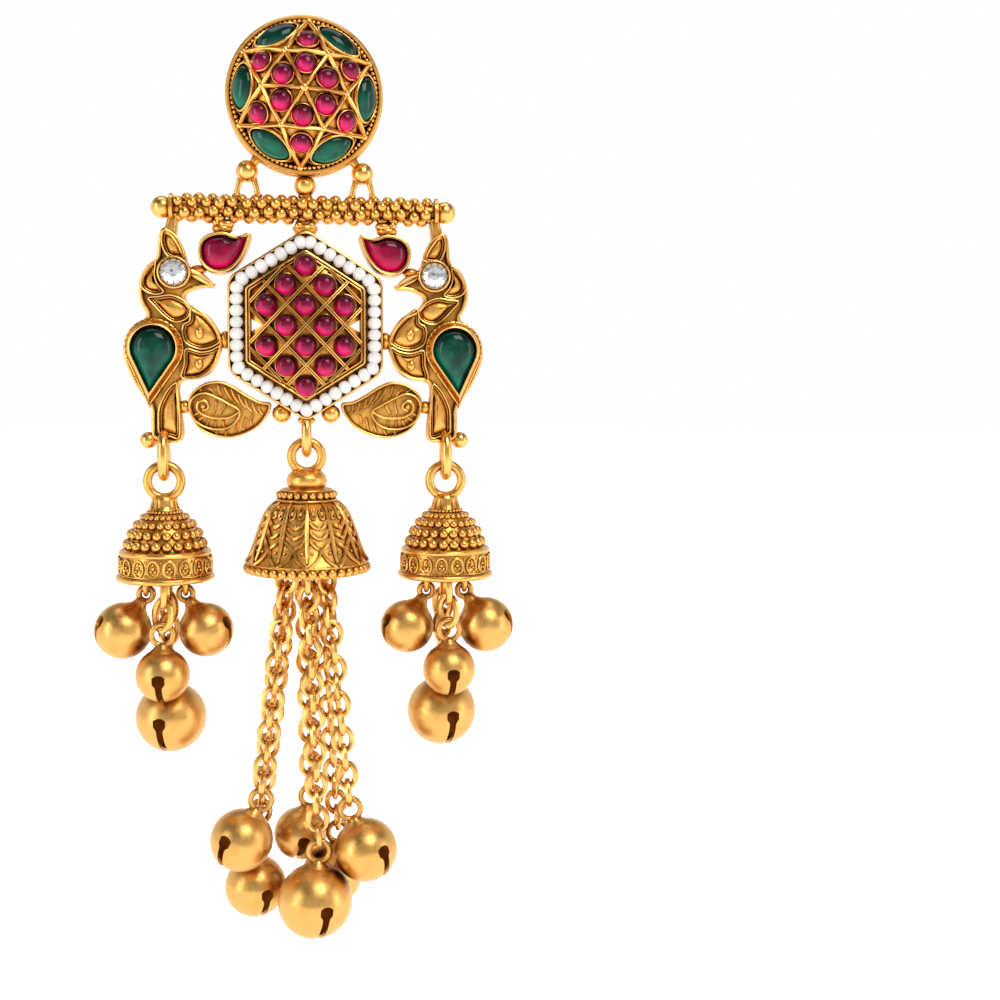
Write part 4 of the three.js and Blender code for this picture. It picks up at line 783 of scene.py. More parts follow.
def build_side_stones(side, word, rim):
    seat = CELL_FRONT_Y - 0.06
    emerald = faceted(tail_outline(side, 0.02), seat, 1.3,
                      [(1, 0), (1, 0.25), (0.93, 0.5), (0.8, 0.75), (0.62, 0.92), (0.42, 1), (0.2, 1.03)])
    make(f"{word}_emerald", emerald, EMERALD, [f"{word}_emerald_drop"], sharp=60)
    ruby = faceted(inset(rim, 0.24), seat, 1.25,
                   [(1, 0), (1, 0.3), (0.9, 0.6), (0.76, 0.85), (0.55, 1), (0.3, 1.03)])
    make(f"{word}_ruby", ruby, DEEP_RUBY, [f"{word}_ruby_drop"], sharp=60)
    x, z = side * EYE[0], EYE[1]
    # Radius, height and turn of each row of twelve corners
    rows = [(0.5, 0.0, 0), (1.21, 0.5, 0), (1.21, 0.62, 0), (1.0, 0.85, 0.5), (0.72, 1.06, 0),
            (0.45, 1.12, 0.5)]
    clear = lofted([[facing(x, seat - h, z, r, TAU * (i + turn) / 12) for i in range(12)]
                    for r, h, turn in rows])
    make(f"{word}_cut_stone", clear, CLEAR, [f"{word}_clear_stone"], sharp=8)
    # Painted shade: dark grey ticks on the crown and a flat dark patch near the table stand for the dark
    # facets of a cut stone.
    shade_ticks = Form()
    for i in range(11):
        spots = ((0.62 + 0.12 * (i % 3), 1.06), (1.0, 0.84), (1.12, 0.72))
        tube(shade_ticks, [facing(x, seat - h, z, r, TAU * (i + 0.3) / 11) for r, h in spots],
             [0.02, 0.045, 0.03], 5)
    sphere(shade_ticks, (x - 0.12, seat - 1.08, z + 0.1), 0.3, 10, 5, (1.2, 0.16, 0.8))
    make(f"{word}_painted_facet_shade", shade_ticks, SHADOW)


# Paisleys

PAISLEY = [(10.42, -27.72), (10.2, -26.7), (9.1, -25.8), (7.7, -25.55), (6.5, -26.0), (5.4, -26.7),
           (4.2, -27.35), (3.2, -27.55), (3.3, -28.4), (4.2, -29.6), (5.5, -30.35), (7.0, -30.7),
           (8.6, -30.4), (9.8, -29.5)]
PAISLEY_INNER = [(5.9, -28.28), (6.9, -27.6), (7.9, -27.05), (9.05, -26.65), (10.0, -27.05), (10.3, -27.95),
                 (9.95, -28.95), (8.9, -29.7), (7.5, -29.85), (6.4, -29.35)]
PAISLEY_SPIRAL = [(5.95, -28.3), (6.9, -28.8), (8.2, -28.85), (9.1, -28.6), (9.6, -28.1), (9.55, -27.5),
                  (9.1, -27.3), (8.72, -27.6), (8.75, -28.0), (9.1, -28.15)]
# Chased strokes between the wires
STROKES = [((7.2, -26.2), (6.6, -27.3)), ((6.6, -26.4), (6.0, -27.5)), ((6.0, -26.8), (5.4, -27.9)),
           ((5.4, -27.2), (4.9, -28.2)), ((4.8, -27.5), (4.4, -28.4)), ((4.2, -27.7), (3.9, -28.5)),
           ((6.1, -29.2), (6.3, -30.1)), ((5.4, -28.9), (5.6, -29.9)), ((4.8, -28.6), (4.9, -29.5)),
           ((7.0, -29.95), (7.2, -30.4)), ((7.9, -29.95), (8.0, -30.35)), ((9.9, -28.6), (9.5, -28.4)),
           ((9.6, -29.1), (9.2, -28.8)), ((8.9, -29.55), (8.7, -29.0)), ((8.1, -29.7), (8.1, -29.1)),
           ((7.3, -29.7), (7.4, -29.1)), ((7.6, -28.4), (7.2, -27.7)), ((8.2, -28.4), (8.0, -27.4)),
           ((8.6, -26.3), (8.2, -26.85)), ((9.4, -26.2), (9.0, -26.5)), ((7.8, -26.0), (7.5, -26.9))]


def build_paisley(side, word):
    outline = curved(PAISLEY, side)
    form = Form()
    plate(form, outline, BACK_Y, -2.75, 0.14)
    rail(form, inset(outline, 0.12), 0.22, -2.6, CELL_FRONT_Y - 0.05)
    rail(form, curved(PAISLEY_INNER, side), 0.2, -2.6, CELL_FRONT_Y - 0.22)
    tube(form, ring_at(smooth(mirrored(PAISLEY_SPIRAL, side), 5), -3.22), 0.13, 8)
    sphere(form, (side * 9.14, -3.3, -27.85), 0.22, 12, 8)
    pick = random.Random(5)
    for (x0, z0), (x1, z1) in STROKES:
        bend = pick.uniform(-0.12, 0.12)
        middle = ((x0 + x1) / 2 + bend, (z0 + z1) / 2 - bend)
        path = smooth(mirrored([(x0, z0), middle, (x1, z1)], side), 3)
        tube(form, ring_at(path, -2.86), 0.13, 6)
    chased = Form()
    pillow(chased, inset(outline, 0.24), -2.66, 0.16, 6)
    make(f"{word}_paisley", form, GOLD)
    make(f"{word}_paisley_chasing", chased, CHASED)


# Hexagon with its pearls and rubies

HEX_Z = -20.6
HEX_W = 5.25
HEX_H = 6.65
HEX_S = 3.3
HEX_RIM = 1.62
HEX_FRONT_Y = -3.4
SLANT = math.atan2(HEX_H - HEX_S, HEX_W)
COLUMN = 1.71
ROW = 1.78
PEARL_COUNT = 43


def hexagon_sizes(offset):
    return HEX_W + offset, HEX_H + offset / math.cos(SLANT)


def hexagon(offset):
    w, h = hexagon_sizes(offset)
    s = h - w * math.tan(SLANT)
    return [Vector((x, HEX_Z + z)) for x, z in ((0, h), (-w, s), (-w, -s), (0, -h), (w, -s), (w, s))]


def inside(x, z, offset):
    w, h = hexagon_sizes(offset)
    return abs(x) < w and abs(z - HEX_Z) + abs(x) * math.tan(SLANT) < h


def panel_y(x, z):
    across = x / HEX_W
    up = (z - HEX_Z) / HEX_H
    return HEX_FRONT_Y - 1 - 1.7 * max(0, 1 - across * across - up * up)


def panel_rubies():
    return [((2 * i - (count - 1)) * COLUMN, HEX_Z + (3 - row) * ROW)
            for row, count in enumerate((1, 2, 3, 2, 3, 2, 1)) for i in range(count)]


def rounded(outline, cut, steps=4):
    """A polygon with its corners rounded."""
    points = []
    for i, p in enumerate(outline):
        a = p.lerp(outline[i - 1], cut)
        b = p.lerp(outline[(i + 1) % len(outline)], cut)
        for t in (k / steps for k in range(steps + 1)):
            points.append(a * (1 - t) ** 2 + p * 2 * t * (1 - t) + b * t ** 2)
    return points


def panel_outline():
    """The panel's hexagon, with a notch at its left and right that leaves a hole."""
    inner = 0.36
    half = 0.62
    depth = 1.05
    corners = hexagon(-inner)
    notched = []
    for i, corner in enumerate(corners):
        after = corners[(i + 1) % 6]
        notched.append(corner)
        if abs(corner.x - after.x) < 0.01:
            tip = Vector((math.copysign(HEX_W - inner - depth, corner.x), HEX_Z))
            going = math.copysign(half, after.y - corner.y)
            notched += [Vector((corner.x, HEX_Z - going)), tip, Vector((corner.x, HEX_Z + going))]
        else:
            notched += [corner.lerp(after, 0.33), corner.lerp(after, 0.67)]
    return notched


def panel_lattice():
    """Double wires over the panel's dome, and a ring round each ruby."""
    lattice = Form()
    section = [(-0.16, -0.75), (-0.17, 0.0), (-0.13, 0.07), (-0.06, 0.07), (0, -0.03), (0.06, 0.07),
               (0.13, 0.07), (0.17, 0.0), (0.16, -0.75)]
    for way in (-1, 1):
        for c in (-2, -1, 0, 1, 2):
            path = []
            for k in range(-60, 61):
                x = k * 0.1
                z = HEX_Z + c * 2 * ROW + way * x * ROW / COLUMN
                if inside(x, z, -0.3):
                    path.append(Vector((x, panel_y(x, z) - 0.2 - 0.02 * way, z)))
            path = path[::3] + [path[-1]]
            sweep(lattice, path, [FRONT] * len(path), section)
    for x, z in panel_rubies():
        y = panel_y(x, z)
        rail(lattice, [Vector((x, z)) + p for p in circle(0.98, 24)], 0.1, y + 0.6, y + 0.22)
    return lattice


def build_hexagon():
    form = Form()
    outer = rounded(hexagon(HEX_RIM), 0.1)
    inner = rounded(hexagon(-0.45), 0.1)
    loft(form, [ring_at(outer, -2.2), ring_at(outer, -3.2), ring_at(inset(outer, 0.06), -3.34),
                ring_at(inset(outer, 0.2), HEX_FRONT_Y), ring_at(inner, HEX_FRONT_Y), ring_at(inner, -2.1),
                ring_at(inset(outer, 0.15), -2.1)], wrap=True)
    walls = Form()
    rail(walls, rounded(hexagon(-0.06), 0.03, 2), 0.2, -3.3, -4.6)
    rail(walls, rounded(hexagon(-0.31), 0.03, 2), 0.18, -3.3, -4.5)
    rail(walls, rounded(hexagon(1.5), 0.1), 0.24, -3.2, -3.95)
    notched = panel_outline()
    middle = Vector((0, HEX_Z))
    rings = [ring_at(notched, -2.15)]
    for share in (1, 0.88, 0.74, 0.58, 0.4, 0.2):
        ring = [middle + (p - middle) * share for p in notched]
        rings.append([Vector((x, panel_y(x, z) + 0.62, z)) for x, z in ring])
    make("hexagon_plate", form, GOLD)
    make("hexagon_wires", walls, POLISHED)
    make("panel_ground", lofted(rings), CHASED, ["hexagon_ruby_panel"])
    make("panel_lattice", panel_lattice(), POLISHED)
    stones = Form()
    for x, z in panel_rubies():
        y = panel_y(x, z) + 0.3
        loft(stones, [[Vector((x + p.x, y - p.z, z + p.y)) for p in ring]
                      for ring in cabochon_points(circle(0.92, 24), 0.84, 0.25)])
    make("panel_rubies", stones, RUBY)
    build_pearls()


def build_pearls():
    """Pearls on a line that starts at the lowest corner and runs round the hexagon."""
    corner_reach = 0.9
    track = hexagon(0.84)
    order = [track[(3 + i) % 6] for i in range(7)]
    lengths = [(b - a).length for a, b in zip(order, order[1:])]
    pearls = Form()
    granules = Form()
    pick = random.Random(3)

    def along_track(number):
        distance = sum(lengths) * number / PEARL_COUNT
        for i in range(6):
            if distance <= lengths[i] or i == 5:
                return (order[i].lerp(order[i + 1], distance / lengths[i]),
                        (order[i + 1] - order[i]).normalized())
            distance -= lengths[i]

    for i in range(PEARL_COUNT):
        place, along = along_track(i)
        near = min((place - corner).length for corner in track)
        if near < corner_reach:
            place = place + (Vector((0, HEX_Z)) - place).normalized() * 0.12 * (1 - near / corner_reach)
        turn = Matrix.Rotation(-math.atan2(along.y, along.x) + pick.uniform(-0.08, 0.08), 3, "Y")
        size = pick.uniform(0.97, 1.03)
        sphere(pearls, (place.x, -3.97, place.y), size, 20, 12, (0.57, 0.56, 0.62), turn)
        for reach in (0.56, -0.56):
            spot, way = along_track(i + 0.5)
            sphere(granules, (spot.x - way.y * reach, -3.5, spot.y + way.x * reach), 0.17, 8, 6)
    make("seed_pearls", pearls, PEARL, ["pearl_string"])
    make("pearl_bed", granules, GOLD)


def build_under_hexagon():
    form = Form()
    balls = Form()
    bottom = hexagon(HEX_RIM)[3].y
    z = bottom + 2.2 * math.tan(SLANT) - 0.6 / math.cos(SLANT)
    for side, word in SIDES:
        sphere(balls, (side * 2.2, -2.8, z), 0.85, 24, 16)
        sphere(form, (side * 2.05, -2.75, z + 0.75), 0.4, 12, 8, (1.3, 1, 0.7))
        sphere(form, (side * 0.55, -2.9, -11.75), 0.4, 12, 8)
    plate(form, [(-0.85, -11.3), (0.85, -11.3), (0.95, -12.6), (-0.95, -12.6)], -1.8, -2.95, 0.15)
    sphere(form, (0, -2.5, -12.0), 1, 14, 9, (1.15, 0.75, 0.6))
    # Solder saddle of the centre loop
    sphere(form, (0, -2.75, bottom + 0.1), 1, 16, 10, (0.8, 0.55, 0.4))
    make("hexagon_saddles", form, GOLD)
    make("hexagon_balls", balls, POLISHED)


# Hanging loops, and the rings of the bells that they hold

HANG_Y = -2.8
BELL_X = 12.65
SIDE_TOP = -33.1
CENTRE_TOP = -31.0
RING_WIRE = 0.42
SIDE_RING = 1.47
CENTRE_RING = 1.37
LINK_GAP = 0.12


def oval(half_depth, half_height, x, z):
    return [Vector((x, HANG_Y + half_depth * math.cos(angle), z + half_height * math.sin(angle)))
            for angle in turns(40)]


def build_loops():
    form = Form()
    for x, top, ring_top, half_depth, wire in (
            (-BELL_X, BOTTOM_Z + 0.5, SIDE_TOP, 1.15, 0.48), (BELL_X, BOTTOM_Z + 0.5, SIDE_TOP, 1.15, 0.48),
            (0, HEX_Z - HEX_H - HEX_RIM, CENTRE_TOP, 1.1, 0.46)):
        bottom = ring_top - RING_WIRE - wire - LINK_GAP
        tube(form, oval(half_depth, (top - bottom) / 2, x, (top + bottom) / 2), wire, 14, True)
    make("hanging_loops", form, POLISHED)


# Bells: radius and depth below the cap's top

HUB_DROP = 0.15
SIDE_HUB = 1.75
CENTRE_HUB = 1.9
HOOK_WIRE = 0.24
HOOK_DROP = 1.2
HOOK_HALF_HEIGHT = 0.85
CAP_OVERLAP = 0.25
SIDE_HEIGHT = 7.6
CENTRE_HEIGHT = 9.4
BAND_RADIUS = 4.05
CENTRE_RIBS = 12

SIDE_BELL = [
    (0.3, 0.05), (0.75, 0.0), (0.98, -0.18), (1.08, -0.5), (1.1, -0.85), (1.2, -1.15), (1.35, -1.35),
    (1.3, -1.5), (1.65, -1.75), (2.05, -2.15), (2.4, -2.6), (2.7, -3.05), (2.92, -3.5), (3.12, -4.0),
    (3.28, -4.5), (3.5, -4.85), (3.76, -5.0), (3.86, -5.15), (3.92, -5.3), (3.94, -5.45), (4.0, -5.6),
    (4.0, -7.05), (4.15, -7.15), (4.3, -7.25), (4.37, -7.4), (4.3, -7.55), (4.1, -7.62), (3.9, -7.5),
    (3.6, -7.0), (3.5, -5.4), (3.2, -4.4), (2.6, -3.4), (1.6, -2.6), (0.01, -2.4)]
# Radius, depth, size and count of the rows of beads
SIDE_BELL_BEADS = [(1.45, -1.52, 0.17, 28), (1.95, -1.95, 0.26, 24), (2.5, -2.62, 0.35, 23),
                   (2.98, -3.45, 0.43, 22), (3.3, -4.38, 0.48, 22)]
CENTRE_CURVE = [(2.55, -2.9), (2.95, -3.15), (3.35, -3.6), (3.65, -4.2), (3.95, -5.0), (4.2, -5.7),
                (4.45, -6.4), (4.75, -7.2), (5.1, -7.9), (5.45, -8.4)]
CENTRE_BELL = [
    (0.3, 0.05), (0.85, -0.02), (1.35, -0.2), (1.7, -0.55), (1.83, -0.95), (1.8, -1.35), (1.62, -1.65),
    (1.75, -1.78), (2.1, -1.88), (2.3, -1.98), (2.35, -2.2), (2.35, -2.4), (2.42, -2.6), (2.5, -2.8),
    *CENTRE_CURVE, (5.42, -8.5), (5.38, -8.65), (5.3, -8.9), (5.2, -9.15), (5.05, -9.4), (4.85, -9.3),
    (4.6, -8.4), (4.1, -6.6), (3.4, -4.6), (2.4, -3.6), (0.01, -3.4)]


def ring_wire(form, x, radius, z, wire, count, sides=8):
    tube(form, [around(x, HANG_Y, z, radius, angle) for angle in turns(count)], wire, sides, True)


def bead_row(form, x, radius, z, size, count):
    for angle in turns(count):
        sphere(form, around(x, HANG_Y, z, radius, angle), size, 10, 7)


def bell_body(form, x, ring, ring_top, profile, segments, hub_radius, roof, height):
    """A bell with its ring on top and the hub inside it that the chains hang on; its cap's top."""
    top = ring_top - 2 * ring + CAP_OVERLAP
    tube(form, [facing(x, HANG_Y, ring_top - ring, ring, angle) for angle in turns(40)], RING_WIRE, 14, True)
    lathe(form, [(r, top + h) for r, h in profile], segments, Matrix.Translation((x, HANG_Y, 0)))
    hub_z = top - height - HUB_DROP
    ring_wire(form, x, hub_radius, hub_z, 0.3, 40, 10)
    middle = Vector((x, HANG_Y, hub_z))
    across = Vector((hub_radius, 0, 0))
    tube(form, [middle - across, middle + across], 0.28, 10)
    tube(form, [Vector((x, HANG_Y, top - roof)), middle], 0.3, 10)
    return top, hub_z


def build_side_bell(side, word):
    x = side * BELL_X
    form = Form()
    top, hub_z = bell_body(form, x, SIDE_RING, SIDE_TOP, SIDE_BELL, 64, SIDE_HUB, 2.7, SIDE_HEIGHT)
    # Leaves pressed into the cap
    for angle in turns(12):
        tube(form, [around(x, HANG_Y, top + h, r, angle)
                    for r, h in ((1.02, -0.35), (1.13, -0.85), (1.34, -1.38))],
             [0.05, 0.09, 0.05], 6)
    for radius, depth, size, count in SIDE_BELL_BEADS:
        bead_row(form, x, radius, top + depth, size, count)
    ring_wire(form, x, 3.86, top - 5.1, 0.24, 64)
    ring_wire(form, x, 4.05, top - 7.02, 0.1, 64, 6)
    ring_wire(form, x, 4.12, top - 7.36, 0.28, 64, 10)
    for way in (-1, 1):
        hook = oval(0.55, HOOK_HALF_HEIGHT, x + way * SIDE_HUB, hub_z - HOOK_DROP + HOOK_HALF_HEIGHT)
        tube(form, hook, HOOK_WIRE, 10, True)
    # Ovals round the band, with four grains in each and two dots between them
    band = Form()
    pick = random.Random(21)
    count = 18
    z = top - 6.22
    for i in range(count):
        middle = TAU * (i + 0.5) / count - math.pi / 2
        tube(band, [around(x, HANG_Y, z + 0.72 * math.sin(t), BAND_RADIUS + 0.01,
                           middle + 0.5 * math.cos(t) / BAND_RADIUS) for t in turns(16)], 0.12, 6, True)
        for turn, rise, size in ((0, 0.1, 0.17), (-0.045, -0.2, 0.15), (0.045, -0.2, 0.15), (0, 0.4, 0.11)):
            grain_z = z + rise + pick.uniform(-0.05, 0.05)
            sphere(band, around(x, HANG_Y, grain_z, BAND_RADIUS, middle + turn), size, 8, 6)
        for rise in (-0.6, 0.6):
            sphere(band, around(x, HANG_Y, z + rise, BAND_RADIUS - 0.03, middle + TAU / count / 2),
                   0.13, 6, 5)
    body = f"{word}_jhumka"
    make(f"{word}_bell_shell", form, GOLD, [f"{word}_bell"], body=body)
    make(f"{word}_bell_band", band, CHASED, body=body)
    return hub_z


def centre_radius(depth):
    for (r0, h0), (r1, h1) in zip(CENTRE_CURVE, CENTRE_CURVE[1:]):
        if h0 >= depth >= h1:
            return r0 + (r1 - r0) * (h0 - depth) / (h0 - h1)
    return CENTRE_CURVE[0][0] if depth > -3 else CENTRE_CURVE[-1][0]


def bell_relief(relief, top):
    step = TAU / CENTRE_RIBS

    def wall(angle, depth, lift):
        return around(0, HANG_Y, top + depth, centre_radius(depth) + lift + 0.05, angle)

    for i in range(CENTRE_RIBS):
        rib = step * i - math.pi / 2
        middle = rib + step / 2
        tube(relief, [wall(rib, -3.0 - 4.9 * k / 10, 0.05) for k in range(11)],
             [0.15 + 0.1 * math.sin(math.pi * k / 10) for k in range(11)], 8)
        for way in (-step, step):
            # A small leaf at the top, then three tiers of chevrons, then the arch of the hem
            tube(relief, [wall(middle + way * (0.2 + 0.12 * math.cos(t)), -3.75 + 0.5 * math.sin(t), 0.04)
                          for t in turns(14)], 0.12, 6, True)
            sphere(relief, wall(middle + way * 0.2, -3.8, 0.03), 0.16, 8, 6, (1, 1, 1.5))
            for depth, drop in ((-4.35, 0.75), (-5.1, 0.85), (-5.9, 0.95)):
                tube(relief, [wall(middle + way * (0.42 - 0.38 * k / 5), depth - drop * (k / 5) ** 0.8, 0.05)
                              for k in range(6)], [0.1, 0.17, 0.21, 0.21, 0.16, 0.1], 6)
            tube(relief, [wall(middle + way * (0.03 + 0.4 * (k / 8) ** 2), -6.75 - 1.55 * k / 8, 0.05)
                          for k in range(9)], 0.16, 6)
            sphere(relief, wall(rib + way * 0.18, -7.15, 0.02), 0.15, 8, 6)
            sphere(relief, wall(middle + way * 0.22, -4.75, 0.03), 0.13, 8, 6)
        sphere(relief, wall(middle, -4.95, 0.03), 0.16, 8, 6, (1, 1, 1.4))
        sphere(relief, wall(middle, -5.9, 0.03), 0.16, 8, 6, (1, 1, 1.3))


def build_centre_bell():
    form = Form()
    top, hub_z = bell_body(form, 0, CENTRE_RING, CENTRE_TOP, CENTRE_BELL, 80, CENTRE_HUB, 3.6, CENTRE_HEIGHT)
    bead_row(form, 0, 2.48, top - 2.3, 0.33, 23)
    bead_row(form, 0, 5.36, top - 8.92, 0.44, 38)
    ring_wire(form, 0, 2.25, top - 1.9, 0.13, 56)
    ring_wire(form, 0, 2.62, top - 2.78, 0.14, 56)
    ring_wire(form, 0, 5.42, top - 8.42, 0.12, 80)
    relief = Form()
    bell_relief(relief, top)
    make("centre_bell_shell", form, CHASED, ["centre_bell"], body="centre_jhumka")
    make("centre_bell_relief", relief, GOLD, body="centre_jhumka")
    return hub_z


# Ghungroos and chains

NECK_LENGTH = 0.3
LONG_NECK_LENGTH = 0.7
BEAD_LOOP = 0.95
HOOKED_LOOP = 0.62
BEAD_WIRE = 0.24
HUB_WIRE = 0.3
SIDE_BEAD = 2.5
TASSEL_BEAD = 2.9
SHELL_WALL = 0.3

# Way outwards, size, lean and the slit's turn in degrees
HOOKED_BEADS = [("outer", 1, 1.02, 32, 62), ("inner", -1, 0.98, 28, 62)]
# Size, then outwards, back and down from the hub, the place round the hub and the slit's turn
SIDE_CHAIN_BEADS = [("front", 0.96, 0.08, -0.76, 3.3, -90, 5), ("lower", 1.28, -0.06, 0.64, 5.16, 90, 15)]
# Size, then right, back and down from the hub, the place round the hub, the lean and the slit's turn
TASSEL_BEADS = [
    (0.983, -2.103, -0.414, 8.414, 200, 26, -33), (0.983, -1.724, 0.759, 10.345, 150, 2, 25),
    (0.845, -0.276, 0.897, 8.69, 95, 16, 10), (1.172, 0.19, -0.828, 10.328, 270, 4.5, 18),
    (1, 1.793, -0.655, 8.793, 330, -20, 35), (1, 0.76, 1.31, 10.25, 50, 8, 20)]


def split_shell(form, radius, matrix):
    """A hollow ball with one slit across its bottom, from a wide head at each side."""
    slit = 0.25 + 0.02 * radius
    head = slit + 0.27
    start = math.radians(80)
    rows = [(math.radians(a), 0.0) for a in (6, 14, 24, 34, 44, 54, 64, 73)]
    rows += [(start, 0.0), (start + 0.02 / radius, 0.2), (start + 0.1 / radius, 0.38)]
    rows += [(start + 0.25 / radius, head), (start + 0.8 / radius, head),
             (start + 0.95 / radius, head - 0.08), (start + 1.1 / radius, slit + 0.05),
             (start + 1.3 / radius, slit)]
    begin = rows[-1][0]
    low = math.pi - math.asin(slit / (0.985 * radius))
    rows += [(begin + (low - begin) * k / 14, slit) for k in range(1, 15)]
    columns = 24
    count = columns + 1
    shift = len(rows) * count
    for half in range(2):
        points = []
        for r in (radius, radius - SHELL_WALL):
            for lean, gap in rows:
                edge = math.asin(min(0.985, gap / (radius * math.sin(lean))))
                for c in range(count):
                    angle = (half - 0.5) * math.pi + edge + (math.pi - 2 * edge) * c / columns
                    points.append(matrix @ around(0, 0, r * math.cos(lean), r * math.sin(lean), angle))
        faces = []
        for i in range(len(rows) - 1):
            for c in range(columns):
                a = i * count + c
                faces.append((a, a + 1, a + 1 + count, a + count))
                faces.append((a + shift, a + count + shift, a + 1 + count + shift, a + 1 + shift))
            if rows[i][0] >= start - 1e-6:
                for c in (0, columns):
                    a = i * count + c
                    faces.append((a, a + count, a + count + shift, a + shift))
        last = (len(rows) - 1) * count
        for c in range(columns):
            faces.append((last + c, last + c + 1, last + c + 1 + shift, last + c + shift))
        form.add(points, faces)


def ghungroo(form, radius, neck_length, loop_radius, place, up, turn):
    """A ghungroo whose ball is at a place, and the middle of its loop."""
    lean = Vector((0, 0, 1)).rotation_difference(up).to_matrix().to_4x4()
    drop = loop_radius + neck_length + radius
    matrix = Matrix.Translation(place) @ lean
    split_shell(form, radius, matrix @ Matrix.Rotation(math.radians(turn), 4, "Z"))
    neck = [(0.3, radius - 0.5), (1.15, radius - 0.3), (0.98, radius - 0.12), (0.8, radius + 0.02),
            (0.68, radius + 0.18), (0.6, radius + 0.6 * neck_length), (0.52, radius + neck_length),
            (0.4, radius + neck_length + 0.16), (0.2, radius + neck_length + 0.24)]
    lathe(form, neck, 24, matrix)
    loop = [matrix @ facing(0, 0, drop, loop_radius, angle) for angle in turns(28)]
    tube(form, loop, BEAD_WIRE + 0.03, 10, True)
    return place + up * drop


def chain(form, anchor, loop, degrees, wire=0.28, pitch=1.6):
    """Links from a hub's wire to a ghungroo's loop, each turned a quarter from the last."""
    along = (loop - anchor).normalized()
    start = anchor - along * (HUB_WIRE + wire)
    end = loop - along * (BEAD_LOOP - BEAD_WIRE - wire)
    count = max(1, round(((end - start).length - 2 * wire) / pitch))
    step = ((end - start).length - 2 * wire) / count
    reach = step / 2 + wire
    flat = (Vector((1, 0, 0)) - along * along.x).normalized()
    deep = along.cross(flat)
    # The last link crosses the ghungroo's loop, and the first ones turn towards the hub's middle.
    first = (degrees - 90 - 90 * (count - 1) + 90) % 180 - 90
    for i in range(count):
        centre = start + along * (wire + step * (i + 0.5))
        angle = math.radians(90 + 90 * (count - 1 - i) + first * max(0, 1 - i / 3)
                             + 7 * math.sin(5 * i + degrees))
        across = flat * math.cos(angle) + deep * math.sin(angle)
        width = min(0.84, reach * 0.82)
        tube(form, [centre + along * reach * math.cos(t) + across * width * math.sin(t) for t in turns(22)],
             wire, 8, True)


def leaning(degrees):
    return Vector((math.sin(math.radians(degrees)), 0, math.cos(math.radians(degrees))))


def build_side_beads(side, word, hub_z):
    base = Vector((side * BELL_X, HANG_Y, hub_z))
    body = f"{word}_jhumka"
    for name, way, size, lean, turn in HOOKED_BEADS:
        radius = SIDE_BEAD * size
        up = leaning(-side * way * lean)
        hook = base + Vector((side * way * SIDE_HUB, 0, -HOOK_DROP))
        reach = HOOKED_LOOP - HOOK_WIRE - BEAD_WIRE - LINK_GAP
        place = hook - up * (reach + HOOKED_LOOP + LONG_NECK_LENGTH + radius)
        form = Form()
        ghungroo(form, radius, LONG_NECK_LENGTH, HOOKED_LOOP, place, up, side * way * turn)
        make(f"{word}_{name}_bead", form, SATIN, [f"{word}_{name}_ghungroo"], body=body)
    for name, size, out, back, down, degrees, turn in SIDE_CHAIN_BEADS:
        place = base + Vector((side * out, back, -down)) * SIDE_BEAD
        anchor = around(0, 0, 0, SIDE_HUB, math.radians(degrees))
        anchor.x *= side
        form = Form()
        loop = ghungroo(form, SIDE_BEAD * size, NECK_LENGTH, BEAD_LOOP, place, leaning(0), side * turn)
        make(f"{word}_{name}_bead", form, SATIN, [f"{word}_{name}_ghungroo"], body=body)
        links = Form()
        chain(links, base + anchor, loop, degrees, 0.32, 1.9)
        make(f"{word}_{name}_links", links, POLISHED, [f"{word}_{name}_chain"], body=body)


def build_tassel(hub_z):
    base = Vector((0, HANG_Y, hub_z))
    for number, (size, right, back, down, degrees, lean, turn) in enumerate(TASSEL_BEADS, 1):
        place = base + Vector((right, back, -down)) * TASSEL_BEAD
        anchor = around(0, HANG_Y, hub_z, CENTRE_HUB, math.radians(degrees))
        form = Form()
        loop = ghungroo(form, TASSEL_BEAD * size, NECK_LENGTH, BEAD_LOOP, place, leaning(lean), turn)
        make(f"tassel_bead_{number}", form, SATIN, [f"tassel_ghungroo_{number}"], body="centre_jhumka")
        links = Form()
        chain(links, anchor, loop, degrees)
        make(f"tassel_links_{number}", links, POLISHED, [f"tassel_chain_{number}"], body="centre_jhumka")


# Screw nut: a scalloped wheel and a barrel, as radius and distance along the post

FLUTES = 14
NUT_PROFILE = [
    (0.9, 5.6), (1.1, 5.5), (2.7, 5.5), (3.1, 5.62), (3.4, 5.85), (3.55, 6.15), (3.55, 7.05), (3.4, 7.35),
    (3.1, 7.58), (2.7, 7.7), (1.9, 7.7), (1.72, 7.78), (1.64, 7.95), (1.64, 8.6), (1.56, 8.68), (1.64, 8.76),
    (1.64, 11.5), (1.58, 11.7), (1.45, 11.8), (1.05, 11.8), (0.9, 11.7)]


def scallop(angle, radius):
    return -0.28 * (0.5 + 0.5 * math.cos(FLUTES * angle)) ** 2 if radius > 3.2 else 0


def build_nut():
    form = Form()
    lathe(form, NUT_PROFILE, 112, TO_BACK, scallop, wrap=True)
    make("grooved_nut", form, POLISHED, ["screw_nut"], body="screw_nut")


# Camera, light and floor, in metres

FLOOR_Z = -0.092
FLOOR_RADIUS = 1.5
LIGHT_TARGET = (0, -0.003, -0.035)


def aim(obj, target):
    obj.rotation_euler = (Vector(target) - obj.location).to_track_quat("-Z", "Y").to_euler()


def area_light(name, place, size, power):
    data = bpy.data.lights.new(name, "AREA")
    data.shape = "RECTANGLE"
    data.size, data.size_y = size
    data.energy = power
    light = add_object(name, data)
    light.location = place
    aim(light, LIGHT_TARGET)


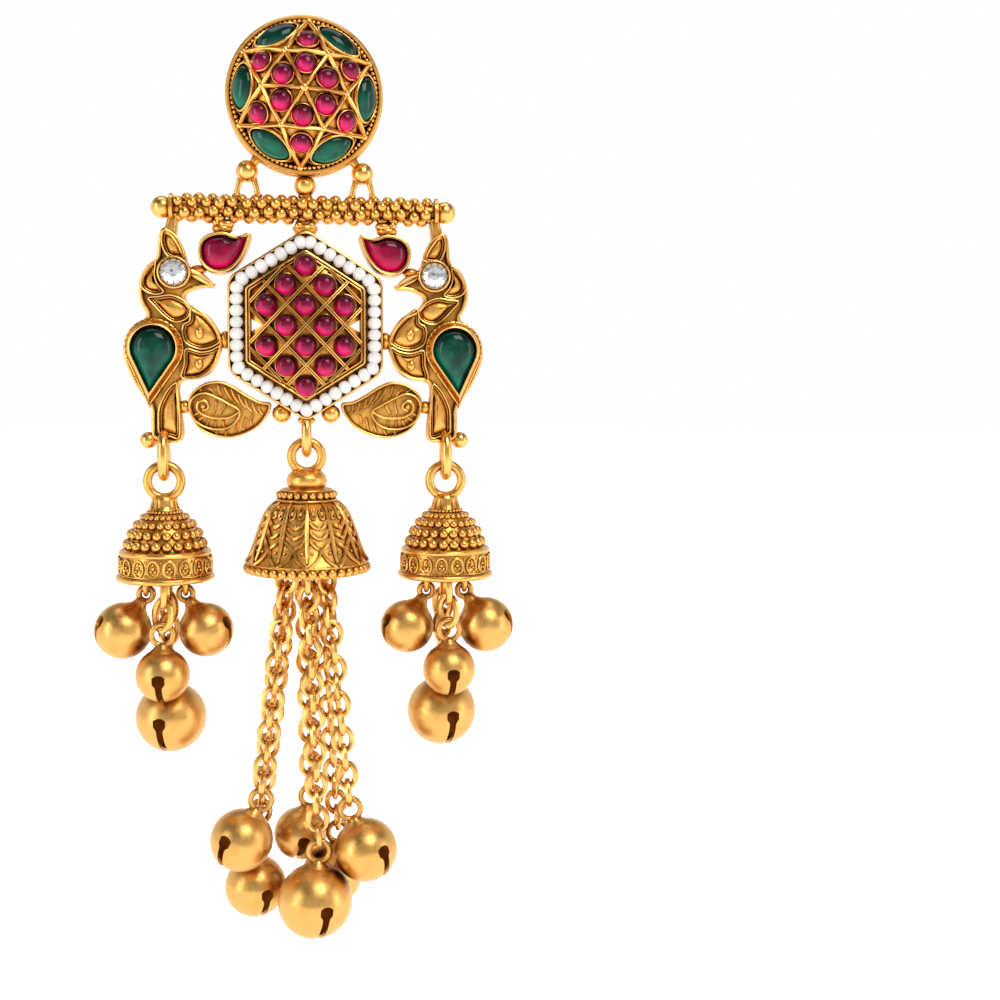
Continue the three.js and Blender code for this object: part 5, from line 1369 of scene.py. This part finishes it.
def build_camera():
    data = bpy.data.cameras.new("camera")
    data.lens = 51.3
    data.sensor_width = 36
    data.clip_start = 0.005
    data.clip_end = 20
    camera = add_object("camera", data)
    camera.location = (0, -0.133, -0.024)
    aim(camera, (0.0177, -0.003, -0.0364))
    camera.rotation_euler.rotate_axis("Z", math.radians(0.4))
    bpy.context.scene.camera = camera


def build_floor():
    floor = bpy.data.meshes.new("floor")
    floor.from_pydata([around(0, 0, FLOOR_Z, FLOOR_RADIUS, angle) for angle in turns(48)],
                      [], [tuple(range(48))])
    material, shader, place = new_material("pale_floor", {
        "Base Color": (0.9, 0.9, 0.9, 1), "Roughness": 0.9, "Specular IOR Level": 0.1,
        "Emission Color": (1, 1, 1, 1), "Emission Strength": 0.75})
    floor.materials.append(material)
    add_object("floor", floor)


def build_world():
    """White behind the view, greyer in front and overhead, so that the gold has dark reflections."""
    world = bpy.data.worlds.new("studio")
    bpy.context.scene.world = world
    world.use_nodes = True
    nodes = world.node_tree.nodes
    split = nodes.new("ShaderNodeSeparateXYZ")
    join(nodes.new("ShaderNodeTexCoord").outputs["Generated"], split.inputs[0])
    shades = ramp(spread(split.outputs["Y"], 0.0, 1.0, -1, 0.6),
                  [(0.0, (0.5, 0.495, 0.49)), (0.4, (0.6, 0.595, 0.59)), (0.75, (1, 1, 1))])
    join(shades, nodes["Background"].inputs["Color"])
    join(spread(split.outputs["Z"], 1.0, 0.25, 0.36, 0.6), nodes["Background"].inputs["Strength"])


def build_stage():
    build_camera()
    build_floor()
    build_world()
    area_light("key", (0.1, -0.2, 0.22), (0.17, 0.17), 0.55)
    area_light("left_fill", (-0.28, -0.16, 0.0), (0.1, 0.3), 0.3)
    area_light("right_fill", (0.28, -0.1, -0.05), (0.08, 0.3), 0.2)
    area_light("top", (0, 0.05, 0.3), (0.3, 0.2), 0.3)
    bpy.context.scene.view_settings.view_transform = "Standard"


build_stage()
build_stud()
build_bar()
for side, word in SIDES:
    build_peacock(side, word)
    build_paisley(side, word)
build_hexagon()
build_under_hexagon()
build_loops()
for side, word in SIDES:
    build_side_beads(side, word, build_side_bell(side, word))
build_tassel(build_centre_bell())
build_nut()
